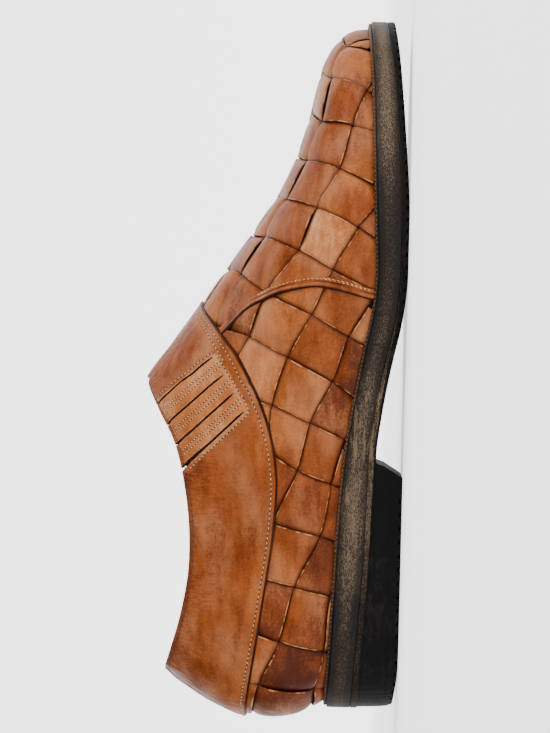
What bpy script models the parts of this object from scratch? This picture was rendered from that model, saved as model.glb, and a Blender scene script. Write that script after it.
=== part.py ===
"""Right shoe of a woven leather slip-on: heel to toe along +X, outer side towards -Y.

The upper, the collar, its straps and the seam ridges all follow one surface, the Last,
which is worked out from the rows of SECTIONS. The sole pieces follow its foot outline
and the rows of SOLE_LINE. The tables are in millimetres for the table sizes below, and
are scaled to the driving dimensions. Places along the shoe are measured from the back
of the heel, places across it from its middle line and heights from the ground.
"""

import math
from collections import namedtuple

import bmesh
import bpy
import numpy as np
from mathutils import Matrix

SHOE = "woven_slip_on"
MM = 0.001

# Driving dimensions, in millimetres.
SOLE_LENGTH = 300.0
BALL_WIDTH = 98.0
INSTEP_HEIGHT = 110.0
ORIGIN_ALONG = 148.0
ORIGIN_ACROSS = -1.57

# The sizes that the tables are drawn for.
TABLE_LENGTH = 300.0
TABLE_BALL = 98.0
TABLE_INSTEP = 110.0

# Thicknesses, gaps and margins, in millimetres.
GAP = 0.3
WALL = 2.0
OVERLAY_GAP = 0.6
OVERLAY = 1.3
STRAP_SLIT = 0.6
RIDGE_HALF_WIDTH = 1.8
RIDGE_RISE = 2.1
RIDGE_PROFILE = [(-1.0, 0.0), (-0.92, 0.55), (-0.45, 1.0), (0.45, 1.0), (0.92, 0.55), (1.0, 0.0)]
WELT_THICK = 1.4
WELT_SET_BACK = 0.9
OUTSOLE_THICK = 3.2
INSOLE_THICK = 2.6
EDGE_ROUND = 0.7
HEEL_SET_BACK = 0.5
HEEL_TAPER = 1.6
HEEL_BREAST_TOP = 108.5
HEEL_BREAST_FOOT = 102.4
BREAST_CLEAR = 3.0

# The notched tread of the forepart and of the heel.
TREAD_PITCH = 4.9
TREAD_BACK_END = 158.0
HEEL_TREAD_PITCH = 5.8
HEEL_TREAD_FRONT_END = 96.0
NOTCH_WIDTH = 2.1
NOTCH_REACH = 3.6
NOTCH_HEIGHT = 1.3

# The forepart bends inwards: its crest lies BEND_ACROSS nearer the inner side in front.
BEND_BACK = 110.0
BEND_FRONT = 260.0
BEND_ACROSS = 2.4

# Mesh density.
LAST_COLUMNS = 480
LAST_ROWS = 72
UPPER_FRONT_COLUMNS = 21
UPPER_BACK_COLUMNS = 21
THROAT_CROWDING = 1.3
UPPER_ROWS = 13
COLLAR_COLUMNS = 76
COLLAR_ROWS = 6
SOLE_COLUMNS = 68

# One row for each section of the last. along, outer and inner place the feather line,
# where the upper meets the sole. margin is how far the sole reaches past it. The wall
# swells by swell_outer or swell_inner at swell_rise above the feather line, and ends at
# the top: on the crest of the closed forepart, or on the topline, top_half from the
# middle. lean is the wall's angle from upright there, full is how square its bend is,
# and fall is the slope of the crest towards the toe.
Section = namedtuple(
    "Section",
    "along outer inner margin swell_outer swell_inner swell_rise "
    "top_along top_half top_height lean full fall",
)
SECTIONS = [
    Section(297.3, 3.0, 3.0, 3.0, 0.0, 0.0, 1.5, 262.6, 0.0, 41.6, 90, 0.63, 0.20),
    Section(293.3, -11.5, 17.5, 3.1, 0.1, 0.1, 2.4, 260.6, 0.0, 42.0, 90, 0.63, 0.20),
    Section(283.8, -25.0, 30.5, 3.3, 0.5, 0.5, 4.4, 256.6, 0.0, 42.9, 90, 0.62, 0.23),
    Section(268.3, -35.8, 39.3, 3.6, 1.2, 1.0, 6.4, 249.7, 0.0, 44.9, 90, 0.60, 0.30),
    Section(248.3, -43.4, 45.0, 3.9, 1.8, 1.4, 9.4, 238.7, 0.0, 48.6, 90, 0.58, 0.38),
    Section(226.2, -48.8, 47.8, 4.1, 2.2, 1.8, 10.5, 222.8, 0.0, 56.1, 90, 0.56, 0.54),
    Section(205.2, -51.0, 46.6, 4.2, 2.3, 2.2, 12.5, 206.0, 0.0, 66.9, 90, 0.55, 0.63),
    Section(180.2, -48.2, 40.2, 4.0, 2.4, 3.4, 14.5, 183.2, 0.0, 82.3, 90, 0.55, 0.66),
    Section(157.3, -42.4, 32.8, 3.7, 2.6, 5.0, 16.5, 161.4, 0.0, 96.8, 90, 0.55, 0.70),
    Section(141.3, -38.4, 29.4, 3.5, 2.8, 6.2, 17.5, 142.6, 0.0, 110.5, 90, 0.55, 0.55),
    Section(133.8, -37.0, 28.6, 3.5, 2.9, 6.6, 17.5, 140.0, 11.5, 109.7, 69, 0.45, 0.20),
    Section(124.3, -35.8, 28.2, 3.5, 3.0, 6.7, 17.5, 131.5, 18.6, 105.6, 54, 0.40, 0.00),
    Section(109.4, -34.5, 28.4, 3.5, 3.0, 6.3, 17.5, 115.4, 24.2, 97.2, 35, 0.36, 0.00),
    Section(88.4, -33.4, 29.4, 3.5, 3.0, 5.0, 17.5, 91.3, 27.0, 91.3, 20, 0.35, 0.00),
    Section(62.4, -32.7, 31.2, 3.6, 2.8, 3.4, 17.5, 64.3, 27.3, 89.6, 14, 0.35, 0.00),
    Section(36.4, -31.2, 31.2, 3.8, 3.2, 3.2, 18.5, 41.8, 24.2, 92.8, 17, 0.36, 0.00),
    Section(16.4, -24.4, 24.4, 4.0, 4.8, 4.8, 20.5, 26.4, 17.6, 97.0, 25, 0.36, 0.00),
    Section(7.4, -13.2, 13.2, 4.2, 7.2, 7.2, 23.5, 19.0, 9.2, 99.4, 32, 0.36, 0.00),
    Section(4.8, 0.0, 0.0, 4.4, 8.2, 8.2, 24.5, 16.8, 0.0, 100.2, 34, 0.36, 0.00),
]

# The sole's under side and the line where it meets the upper, from toe to heel.
SoleRow = namedtuple("SoleRow", "along under top")
SOLE_LINE = [
    SoleRow(302.2, 7.9, 19.5),
    SoleRow(282.2, 5.3, 17.8),
    SoleRow(262.2, 3.4, 16.6),
    SoleRow(240.1, 1.6, 15.7),
    SoleRow(226.1, 0.6, 15.1),
    SoleRow(212.1, 0.0, 14.4),
    SoleRow(188.1, 0.0, 13.6),
    SoleRow(178.1, 0.6, 14.1),
    SoleRow(166.1, 2.3, 16.0),
    SoleRow(153.2, 5.1, 18.6),
    SoleRow(139.2, 7.8, 21.1),
    SoleRow(126.2, 9.8, 23.3),
    SoleRow(113.2, 11.3, 25.1),
    SoleRow(95.3, 11.8, 26.8),
    SoleRow(65.3, 12.8, 28.4),
    SoleRow(35.3, 14.7, 29.7),
    SoleRow(-5.7, 17.4, 32.2),
]

# Lines on the upper's outer side, as the side view shows them; the inner side repeats
# them. The collar's lower edge starts on the crest, and the seam ridge at that edge.
Place = namedtuple("Place", "along up")
COLLAR_FRONT = 175.3
COLLAR_EDGE = [
    Place(170.4, 84.9),
    Place(161.8, 77.9),
    Place(153.5, 71.2),
    Place(141.1, 64.3),
    Place(123.6, 57.2),
    Place(102.2, 53.2),
    Place(80.8, 53.8),
    Place(53.5, 57.0),
    Place(29.0, 60.4),
    Place(9.5, 63.4),
]
COLLAR_EDGE_BACK = 64.7
COLLAR_EDGE_STEPS = 60
RIDGE_LINE = [
    Place(163.9, 76.0),
    Place(171.1, 69.3),
    Place(178.3, 57.6),
    Place(182.1, 46.2),
    Place(183.3, 38.0),
    Place(182.3, 29.9),
    Place(180.5, 22.7),
    Place(178.8, 16.2),
]

# The elastic gore's window: the slits beside its first and its last strap.
STRAPS_A_SIDE = 3
FIRST_SLIT = (Place(131.1, 105.7), Place(151.6, 81.3))
LAST_SLIT = (Place(105.0, 92.5), Place(129.0, 67.8))
SLIT_OVERSHOOT = 0.5
PRISM_NEAR = 4.0
PRISM_FAR = 70.0

# Share of the swell's rise at which the wall stops leaning out, and the number of rows
# that are repeated past each end of the loop so that curves close smoothly.
LOW_HANDLE = 0.4
WRAP = 4

LENGTH_SCALE = SOLE_LENGTH / TABLE_LENGTH
WIDTH_SCALE = BALL_WIDTH / TABLE_BALL
HEIGHT_SCALE = INSTEP_HEIGHT / TABLE_INSTEP

Finish = namedtuple("Finish", "colour roughness")
WOVEN_LEATHER = Finish((0.46, 0.17, 0.05), 0.45)
COLLAR_LEATHER = Finish((0.52, 0.21, 0.07), 0.42)
STRAP_LEATHER = Finish((0.50, 0.22, 0.09), 0.45)
SOLE_EDGE = Finish((0.055, 0.042, 0.034), 0.5)
WELT_EDGE = Finish((0.05, 0.03, 0.02), 0.55)
RUBBER = Finish((0.012, 0.012, 0.013), 0.65)
INSOLE_LEATHER = Finish((0.42, 0.26, 0.14), 0.6)


def cubic(knots, values, tangents, places):
    """Read the cubic pieces with the given values and tangents at rising knots."""
    places = np.clip(places, knots[0], knots[-1])
    steps = np.diff(knots)
    span = np.clip(np.searchsorted(knots, places, side="right") - 1, 0, len(steps) - 1)
    t = (places - knots[span]) / steps[span]
    before = values[span] * (1 + 2 * t) + tangents[span] * steps[span] * t
    after = values[span + 1] * (3 - 2 * t) + tangents[span + 1] * steps[span] * (t - 1)
    return before * (1 - t) ** 2 + after * t**2


def smooth(knots, values, places):
    """Read a smooth curve through values at rising knots, at each of places."""
    knots, values = np.asarray(knots, float), np.asarray(values, float)
    steps = np.diff(knots)
    slopes = np.diff(values) / steps
    inner = (slopes[:-1] * steps[1:] + slopes[1:] * steps[:-1]) / (steps[:-1] + steps[1:])
    tangents = np.concatenate((slopes[:1], inner, slopes[-1:]))
    return cubic(knots, values, tangents, places)


def monotone(knots, values, places):
    """Read a curve through values that never swings past them, so flats stay flat."""
    knots, values = np.asarray(knots, float), np.asarray(values, float)
    slopes = np.diff(values) / np.diff(knots)
    same_way = slopes[:-1] * slopes[1:] > 0
    harmonic = 2 * slopes[:-1] * slopes[1:] / np.where(same_way, slopes[:-1] + slopes[1:], 1)
    tangents = np.concatenate((slopes[:1], np.where(same_way, harmonic, 0), slopes[-1:]))
    return cubic(knots, values, tangents, places)


def lengths_along(line):
    """How far each point of a line lies from its first, along the line."""
    return np.concatenate(([0], np.cumsum(np.linalg.norm(np.diff(line, axis=0), axis=1))))


def sole_height(column, along):
    """Height of the sole's under side or top at places along the shoe."""
    rows = sorted(SOLE_LINE, key=lambda row: row.along)
    knots = [row.along * LENGTH_SCALE for row in rows]
    heights = [getattr(row, column) for row in rows]
    return monotone(knots, heights, along)


class Last:
    """The surface that the whole upper follows.

    A point on it is (turn, climb): turn runs 0 at the toe, 1 at the back of the heel and
    on to 2 at the toe again, along the outer and then the inner side. climb runs from 0
    at the feather line to 1 on the crest or the topline.
    """

    def __init__(self):
        self.turns, self.knots = self._row_turns()
        self.throat = max(index for index, row in enumerate(SECTIONS[:-1]) if row.top_half == 0)
        turns = np.linspace(0, 2, LAST_COLUMNS, endpoint=False)
        self.feather, self.outward = self._feather(turns)
        self.grid = self._wall_grid(turns)
        self.normals = self._grid_normals()

    def _row_turns(self):
        """Give each row its turn, in step with its distance along the feather line."""
        outer = np.array([(row.along, row.outer) for row in SECTIONS])
        inner = np.array([(row.along, row.inner) for row in SECTIONS])
        steps = sum(np.linalg.norm(np.diff(line, axis=0), axis=1) for line in (outer, inner))
        half = np.concatenate(([0], np.cumsum(steps))) / steps.sum()
        loop = np.concatenate((half, 2 - half[-2:0:-1]))
        knots = np.concatenate((loop[-WRAP:] - 2, loop, loop[:WRAP] + 2))
        return half, knots

    def _around(self, outer, inner, turns):
        """Read one column of the table smoothly all the way round the shoe."""
        outer, inner = np.asarray(outer, float), np.asarray(inner, float)
        loop = np.concatenate((outer, inner[-2:0:-1]))
        values = np.concatenate((loop[-WRAP:], loop, loop[:WRAP]))
        return smooth(self.knots, values, turns)

    def shared(self, name, turns):
        """Read a column of the table that both sides share."""
        values = [getattr(row, name) for row in SECTIONS]
        return self._around(values, values, turns)

    def _feather(self, turns):
        """The feather line at each turn, with its outward direction in plan."""
        along = self.shared("along", turns) * LENGTH_SCALE
        outer = [row.outer for row in SECTIONS]
        inner = [row.inner for row in SECTIONS]
        across = self._around(outer, inner, turns) * WIDTH_SCALE
        line = np.stack((along, across), axis=-1)
        way = np.gradient(np.vstack((line[-1], line, line[0])), axis=0)[1:-1]
        outward = np.stack((way[:, 1], -way[:, 0]), axis=-1)
        outward /= np.linalg.norm(outward, axis=1, keepdims=True)
        centre = line.mean(axis=0)
        if np.sum(outward * (line - centre)) < 0:
            outward = -outward
        return line, outward

    def _wall_grid(self, turns):
        """Points of the wall from the feather line up, evenly spaced along each section."""
        foot = np.column_stack((self.feather, sole_height("top", self.feather[:, 0])))
        swell_outer = [row.swell_outer for row in SECTIONS]
        swell_inner = [row.swell_inner for row in SECTIONS]
        swell = self._around(swell_outer, swell_inner, turns) * WIDTH_SCALE
        waist = foot.copy()
        waist[:, :2] += self.outward * swell[:, None]
        waist[:, 2] += self.shared("swell_rise", turns) * HEIGHT_SCALE
        top = self._top(turns)
        lean = np.radians(self.shared("lean", turns))
        full = self.shared("full", turns)
        fall = self.shared("fall", turns)

        low_handle = waist.copy()
        low_handle[:, 2] = foot[:, 2] + LOW_HANDLE * (waist[:, 2] - foot[:, 2])
        rise = waist.copy()
        rise[:, 2] += full * (top[:, 2] - waist[:, 2])
        outward = waist[:, :2] - top[:, :2]
        reach = np.linalg.norm(outward, axis=1)
        outward /= reach[:, None]
        handle = full * (reach * np.sin(lean) + (top[:, 2] - waist[:, 2]) * np.cos(lean))
        down = -np.cos(lean) - np.sin(lean) * fall * outward[:, 0]
        bend = top + handle[:, None] * np.column_stack((outward * np.sin(lean)[:, None], down))

        t = np.linspace(0, 1, LAST_ROWS)[:, None, None]
        lower = foot * (1 - t) ** 2 + low_handle * 2 * t * (1 - t) + waist * t**2
        upper = (
            waist * (1 - t) ** 3
            + rise * 3 * t * (1 - t) ** 2
            + bend * 3 * t**2 * (1 - t)
            + top * t**3
        )
        path = np.concatenate((lower, upper[1:]))
        lengths = np.linalg.norm(np.diff(path, axis=0), axis=2)
        travelled = np.concatenate((np.zeros((1, len(turns))), np.cumsum(lengths, axis=0)))
        grid = np.empty((len(turns), LAST_ROWS, 3))
        for column in range(len(turns)):
            even = np.linspace(0, travelled[-1, column], LAST_ROWS)
            for axis in range(3):
                grid[column, :, axis] = np.interp(even, travelled[:, column], path[:, column, axis])
        return grid

    def _top(self, turns):
        """The crest and the topline: two smooth runs that meet at the throat."""
        throat = self.throat
        closed = np.concatenate((-self.turns[throat:0:-1], self.turns[: throat + 1]))
        opened = np.concatenate((self.turns[throat:], 2 - self.turns[-2 : throat - 1 : -1]))
        behind = (turns > self.turns[throat]) & (turns < 2 - self.turns[throat])
        signed = np.where(turns > 1, turns - 2, turns)
        columns = []
        for name, outer_sign, scale in (
            ("top_along", 1, LENGTH_SCALE),
            ("top_half", -1, WIDTH_SCALE),
            ("top_height", 1, HEIGHT_SCALE),
        ):
            values = np.array([getattr(row, name) for row in SECTIONS]) * scale
            front = np.concatenate((values[throat:0:-1], values[: throat + 1]))
            back = np.concatenate((values[throat:] * outer_sign, values[-2 : throat - 1 : -1]))
            columns.append(np.where(behind, smooth(opened, back, turns), smooth(closed, front, signed)))
        top = np.column_stack(columns)
        top[:, 1] += self.middle_line(top[:, 0])
        return top

    def middle_line(self, along):
        """How far the crest lies towards the inner side, as the forepart bends inwards."""
        place = np.asarray(along) / LENGTH_SCALE
        bend = np.clip((place - BEND_BACK) / (BEND_FRONT - BEND_BACK), 0, 1)
        return BEND_ACROSS * bend * bend * (3 - 2 * bend) * WIDTH_SCALE

    def _grid_normals(self):
        """Outward normals of the grid."""
        looped = np.concatenate((self.grid[-1:], self.grid, self.grid[:1]))
        along = np.gradient(looped, axis=0)[1:-1]
        upward = np.gradient(self.grid, axis=1)
        normals = np.cross(upward, along)
        normals /= np.linalg.norm(normals, axis=2, keepdims=True)
        low = LAST_ROWS // 4
        outside = self.grid[:, low, :2] - self.grid[:, low, :2].mean(axis=0)
        if np.sum(normals[:, low, :2] * outside) < 0:
            normals = -normals
        return normals

    def read(self, table, turn, climb):
        """Read a table of the grid between its columns and rows."""
        turn = np.mod(np.asarray(turn, float), 2) / 2 * LAST_COLUMNS
        climb = np.asarray(climb, float) * (LAST_ROWS - 1)
        left = np.floor(turn).astype(int)
        low = np.clip(np.floor(climb).astype(int), 0, LAST_ROWS - 2)
        s, t = (turn - left)[..., None], (climb - low)[..., None]
        left, right = left % LAST_COLUMNS, (left + 1) % LAST_COLUMNS
        below = table[left, low] * (1 - s) + table[right, low] * s
        above = table[left, low + 1] * (1 - s) + table[right, low + 1] * s
        return below * (1 - t) + above * t

    def point(self, turn, climb, out=0.0):
        """A point of the surface, or of one that lies out from it."""
        normal = self.read(self.normals, turn, climb)
        normal /= np.linalg.norm(normal, axis=-1, keepdims=True)
        return self.read(self.grid, turn, climb) + normal * out

    def beside(self, along, up, inner=False):
        """The (turn, climb) of the place that the side view shows at along and up."""
        first = LAST_COLUMNS // 2 if inner else 0
        side = self.grid[first : first + LAST_COLUMNS // 2]
        target = np.array((along * LENGTH_SCALE, up * HEIGHT_SCALE))
        miss = np.sum((side[..., (0, 2)] - target) ** 2, axis=2)
        column, row = np.unravel_index(np.argmin(miss), miss.shape)
        place = np.array(((first + column) / LAST_COLUMNS * 2, row / (LAST_ROWS - 1)))
        step = 1e-3
        for _ in range(6):
            here = self.point(*place)[[0, 2]]
            by_turn = (self.point(place[0] + step, place[1])[[0, 2]] - here) / step
            by_climb = (here - self.point(place[0], place[1] - step)[[0, 2]]) / step
            place = place + np.linalg.solve(np.column_stack((by_turn, by_climb)), target - here)
        return place

    def turn_of_top(self, along):
        """The turn, on the outer side, whose crest point lies at a place along the shoe."""
        turns = np.linspace(0, self.throat_turn(), LAST_COLUMNS)
        tops = self.point(turns, np.ones_like(turns))[:, 0]
        return float(np.interp(-along * LENGTH_SCALE, -tops, turns))

    def throat_turn(self):
        """The turn of the front of the collar opening, on the outer side."""
        return float(self.turns[self.throat])


def scene_point(point):
    """Turn a table point, in millimetres, into a scene point, in metres."""
    along, across, up = point
    return ((along - ORIGIN_ALONG) * MM, (across - ORIGIN_ACROSS) * MM, up * MM)


def make_object(name, bm, collection, finish=None, sharp_angle=40.0):
    """Make a mesh object of its own from a bmesh, shaded smooth but for sharp edges."""
    bmesh.ops.recalc_face_normals(bm, faces=bm.faces)
    mesh = bpy.data.meshes.new(name)
    bm.to_mesh(mesh)
    bm.free()
    mesh.shade_smooth()
    mesh.set_sharp_from_angle(angle=math.radians(sharp_angle))
    piece = bpy.data.objects.new(name, mesh)
    collection.objects.link(piece)
    if finish is not None:
        material = bpy.data.materials.new(name)
        material.use_nodes = True
        shader = material.node_tree.nodes["Principled BSDF"]
        shader.inputs["Base Color"].default_value = (*finish.colour, 1.0)
        shader.inputs["Roughness"].default_value = finish.roughness
        shader.inputs["Metallic"].default_value = 0.0
        mesh.materials.append(material)
    return piece


def make_cutter(name, bm, collection):
    """Make the form of a cut: an object that is only shown as wire and never rendered."""
    cutter = make_object(name, bm, collection)
    cutter.hide_render = True
    cutter.display_type = "WIRE"
    return cutter


def add_solidify(piece, thickness, offset):
    """Give an open sheet its thickness, in millimetres."""
    solidify = piece.modifiers.new("thickness", "SOLIDIFY")
    solidify.thickness = thickness * MM
    solidify.offset = offset
    solidify.use_even_offset = True
    solidify.use_rim = True


def add_boolean(piece, cutter, operation):
    """Cut a piece with a hidden form, or keep only what lies in it."""
    boolean = piece.modifiers.new(operation.lower(), "BOOLEAN")
    boolean.operation = operation
    boolean.object = cutter
    boolean.solver = "EXACT"


def sheet_grid(bm, points, closed):
    """Add a grid of faces over points[column][row], closed round the columns or not."""
    rows = [[bm.verts.new(scene_point(point)) for point in column] for column in points]
    pairs = list(zip(rows, rows[1:]))
    if closed:
        pairs.append((rows[-1], rows[0]))
    for left, right in pairs:
        for low in range(len(left) - 1):
            bm.faces.new((left[low], right[low], right[low + 1], left[low + 1]))
    return rows


def build_upper(last, collection):
    """The hollow woven upper: one wall, open at the collar and underneath."""
    throat = last.throat_turn()
    front = np.linspace(0, throat, UPPER_FRONT_COLUMNS, endpoint=False)
    share = np.linspace(0, 1, UPPER_BACK_COLUMNS) ** THROAT_CROWDING
    half = np.concatenate((front, throat + (1 - throat) * share))
    turns = np.concatenate((half, 2 - half[-2:0:-1]))
    climbs = np.linspace(0, 1, UPPER_ROWS)
    bm = bmesh.new()
    columns = []
    for turn in turns:
        points = last.point(np.full(UPPER_ROWS, turn), climbs)
        points[:, 2] += GAP * (1 - climbs)
        if turn <= throat or turn >= 2 - throat:
            points[-1, 1] = last.middle_line(points[-1, 0])
        columns.append(points)
    sheet_grid(bm, columns, closed=True)
    bmesh.ops.remove_doubles(bm, verts=bm.verts, dist=0.00001)
    piece = make_object("upper", bm, collection, WOVEN_LEATHER)
    add_solidify(piece, WALL, -1.0)
    return piece


def collar_sheet(last):
    """The collar's ring as (turn, climb) columns from its lower edge to the topline.

    The ring starts and ends on the crest, so its first column runs back along it.
    """
    outer = [(last.turn_of_top(COLLAR_FRONT), 1.0)]
    reached = lengths_along(np.array(COLLAR_EDGE))
    steps = np.linspace(0, reached[-1], COLLAR_EDGE_STEPS)
    along, up = (smooth(reached, column, steps) for column in zip(*COLLAR_EDGE))
    outer += [last.beside(*place) for place in zip(along, up)]
    back_heights = last.point(np.ones(LAST_ROWS), np.linspace(0, 1, LAST_ROWS))[:, 2]
    back_climb = np.interp(COLLAR_EDGE_BACK * HEIGHT_SCALE, back_heights, np.linspace(0, 1, LAST_ROWS))
    outer.append((1.0, back_climb))
    # The other side's first place comes first, so that the edge rounds the crest.
    outer = np.array([(outer[1][0], 2 - outer[1][1]), *outer])
    knots = lengths_along(outer)
    knots = (knots - knots[1]) / (knots[-1] - knots[1])
    places = np.linspace(0, 1, COLLAR_COLUMNS // 2 + 1)
    edge = np.column_stack([smooth(knots, outer[:, axis], places) for axis in range(2)])
    throat = last.throat_turn()
    top_turns = throat + (1 - throat) * (edge[:, 0] - edge[0, 0]) / (1 - edge[0, 0])
    columns = []
    for (turn, climb), top_turn in zip(edge, top_turns):
        share = np.linspace(0, 1, COLLAR_ROWS)
        columns.append(np.column_stack((turn + (top_turn - turn) * share, climb + (1 - climb) * share)))
    return columns


def collar_bmesh(last, out):
    """The collar's ring as an open sheet that lies out from the last."""
    half = collar_sheet(last)
    bm = bmesh.new()
    columns = [last.point(column[:, 0], column[:, 1], out) for column in half]
    columns += [last.point(2 - column[:, 0], column[:, 1], out) for column in half[-2:0:-1]]
    columns[0][:, 1] = last.middle_line(columns[0][:, 0])
    sheet_grid(bm, columns, closed=True)
    return bm


def side_prism(name, outline, inner, collection):
    """A hidden form: an outline of the side view, drawn out across one side of the shoe."""
    near, far = (PRISM_NEAR, PRISM_FAR) if inner else (-PRISM_FAR, -PRISM_NEAR)
    bm = bmesh.new()
    ring = [bm.verts.new(scene_point((place.along, near, place.up))) for place in outline]
    face = bm.faces.new(ring)
    drawn = bmesh.ops.extrude_face_region(bm, geom=[face])
    moved = [item for item in drawn["geom"] if isinstance(item, bmesh.types.BMVert)]
    bmesh.ops.translate(bm, verts=moved, vec=(0, (far - near) * MM, 0))
    return make_cutter(name, bm, collection)


def between(start, end, share):
    """The place a share of the way from start to end."""
    return Place(start.along + (end.along - start.along) * share, start.up + (end.up - start.up) * share)


def slit_lines():
    """The middle lines of the slits beside the straps, each from the topline down."""
    lines = []
    for index in range(STRAPS_A_SIDE + 1):
        share = index / STRAPS_A_SIDE
        upper = between(FIRST_SLIT[0], LAST_SLIT[0], share)
        lower = between(FIRST_SLIT[1], LAST_SLIT[1], share)
        lines.append((between(lower, upper, 1 + SLIT_OVERSHOOT), lower))
    return lines


def strap_outline(before, after, trim):
    """The outline of the strip between two slit lines, trimmed all round by trim."""
    across = np.array(after[1]) - np.array(before[1])
    across /= np.linalg.norm(across)
    down = np.array(before[1]) - np.array(before[0])
    down /= np.linalg.norm(down)
    square = math.sqrt(1 - float(np.dot(across, down)) ** 2)
    side, end = across * trim / square, down * trim / square
    corners = (
        np.array(before[0]) + side,
        np.array(before[1]) + side - end,
        np.array(after[1]) - side - end,
        np.array(after[0]) - side,
    )
    return [Place(*corner) for corner in corners]


def build_collar(last, collection, cutters):
    """The smooth collar and its straps, all cut from one ring that lies on the upper."""
    lines = slit_lines()
    collar = make_object("collar", collar_bmesh(last, OVERLAY_GAP), collection, COLLAR_LEATHER)
    add_solidify(collar, OVERLAY, 1.0)
    for inner in (False, True):
        side = "inner" if inner else "outer"
        window = strap_outline(lines[0], lines[-1], 0.0)
        add_boolean(collar, side_prism(f"gore_window_{side}", window, inner, cutters), "DIFFERENCE")
        for index, (before, after) in enumerate(zip(lines, lines[1:]), start=1):
            name = f"gore_strap_{side}_{index}"
            strap = make_object(name, collar_bmesh(last, OVERLAY_GAP), collection, STRAP_LEATHER)
            add_solidify(strap, OVERLAY, 1.0)
            outline = strap_outline(before, after, STRAP_SLIT / 2)
            add_boolean(strap, side_prism(f"{name}_form", outline, inner, cutters), "INTERSECT")


def build_ridge(last, inner, collection):
    """The rolled seam ridge on one side, from the collar's edge down to the welt."""
    places = np.array([last.beside(place.along, place.up, inner) for place in RIDGE_LINE])
    knots = lengths_along(places)
    samples = np.linspace(0, knots[-1], 3 * len(places))
    turn = smooth(knots, places[:, 0], samples)
    climb = smooth(knots, places[:, 1], samples)
    spine = last.point(turn, climb)
    normal = last.point(turn, climb, 1.0) - spine
    way = np.gradient(spine, axis=0)
    way /= np.linalg.norm(way, axis=1, keepdims=True)
    side = np.cross(way, normal)
    bm = bmesh.new()
    rings = []
    for across, up in RIDGE_PROFILE:
        rise = GAP + up * RIDGE_RISE
        line = spine + side * across * RIDGE_HALF_WIDTH + normal * rise
        rings.append([bm.verts.new(scene_point(point)) for point in line])
    for low, high in zip(rings, rings[1:] + rings[:1]):
        for index in range(len(low) - 1):
            bm.faces.new((low[index], low[index + 1], high[index + 1], high[index]))
    for end in (0, -1):
        bm.faces.new([ring[end] for ring in rings])
    name = "seam_ridge_inner" if inner else "seam_ridge_outer"
    return make_object(name, bm, collection, WOVEN_LEATHER)


class SoleOutline:
    """The plan outline of the sole, as a loop of columns from the toe round the heel."""

    def __init__(self, last, columns):
        turns = np.linspace(0, 2, columns, endpoint=False)
        index = np.round(turns / 2 * LAST_COLUMNS).astype(int) % LAST_COLUMNS
        self.feather = last.feather[index]
        self.outward = last.outward[index]
        self.margin = last.shared("margin", index / LAST_COLUMNS * 2)

    def edge(self, set_back=0.0):
        """The sole's edge, set back by a distance."""
        return self.feather + self.outward * (self.margin - set_back)[:, None]

    def inside(self, distance):
        """A line inside the feather line by a distance."""
        return self.feather - self.outward * distance


def ring_of(bm, outline, height):
    """A ring of vertices over a plan outline, at a height worked out from its place."""
    return [
        bm.verts.new(scene_point((along, across, up)))
        for (along, across), up in zip(outline, height(outline[:, 0]))
    ]


def bridge(bm, lower, upper):
    """Join two closed rings with a band of faces."""
    for index in range(len(lower)):
        after = (index + 1) % len(lower)
        bm.faces.new((lower[index], lower[after], upper[after], upper[index]))


def cap(bm, ring):
    """Close a ring that starts at the toe with strips from side to side."""
    half = len(ring) // 2
    bm.faces.new((ring[0], ring[1], ring[-1]))
    for index in range(1, half - 1):
        bm.faces.new((ring[index], ring[index + 1], ring[-index - 1], ring[-index]))
    bm.faces.new((ring[half - 1], ring[half], ring[half + 1]))


def cap_open(bm, ring):
    """Close a ring whose first and last vertices face each other across the shoe."""
    for index in range(len(ring) // 2 - 1):
        bm.faces.new((ring[index], ring[index + 1], ring[-index - 2], ring[-index - 1]))
    if len(ring) % 2:
        half = len(ring) // 2
        bm.faces.new((ring[half - 1], ring[half], ring[half + 1]))


def build_plate(name, outlines, heights, collection, finish):
    """A solid plate through rings, from its under side up."""
    bm = bmesh.new()
    rings = [ring_of(bm, outline, height) for outline, height in zip(outlines, heights)]
    for lower, upper in zip(rings, rings[1:]):
        bridge(bm, lower, upper)
    cap(bm, rings[0])
    cap(bm, rings[-1])
    return make_object(name, bm, collection, finish)


def raised(column, rise):
    """A height that lies above the sole's under side or its top by rise."""
    return lambda along: sole_height(column, along) + rise


def notch_cutters(name, spots, collection):
    """A hidden form: a box at each spot of an edge, across it, to cut the tread's notches."""
    bm = bmesh.new()
    for point, outward in spots:
        box = bmesh.ops.create_cube(bm, size=1.0)["verts"]
        size = (NOTCH_REACH * 2 * MM, NOTCH_WIDTH * MM, NOTCH_HEIGHT * 2 * MM)
        bmesh.ops.scale(bm, verts=box, vec=size)
        across_edge = Matrix.Rotation(math.atan2(outward[1], outward[0]), 3, "Z")
        bmesh.ops.rotate(bm, verts=box, cent=(0, 0, 0), matrix=across_edge)
        bmesh.ops.translate(bm, verts=box, vec=scene_point(point))
    return make_cutter(name, bm, collection)


def edge_spots(outline, outward, height, pitch, keep):
    """Spots at an even pitch along a plan outline, where keep says so."""
    looped = np.vstack((outline, outline[:1]))
    lengths = lengths_along(looped)
    facing = np.vstack((outward, outward[:1]))
    spots = []
    count = int(lengths[-1] / pitch)
    for distance in (np.arange(count) + 0.5) * lengths[-1] / count:
        along, across = (np.interp(distance, lengths, looped[:, axis]) for axis in range(2))
        if keep(along):
            way = [np.interp(distance, lengths, facing[:, axis]) for axis in range(2)]
            spots.append(((along, across, float(height(np.array([along]))[0])), way))
    return spots


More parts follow.
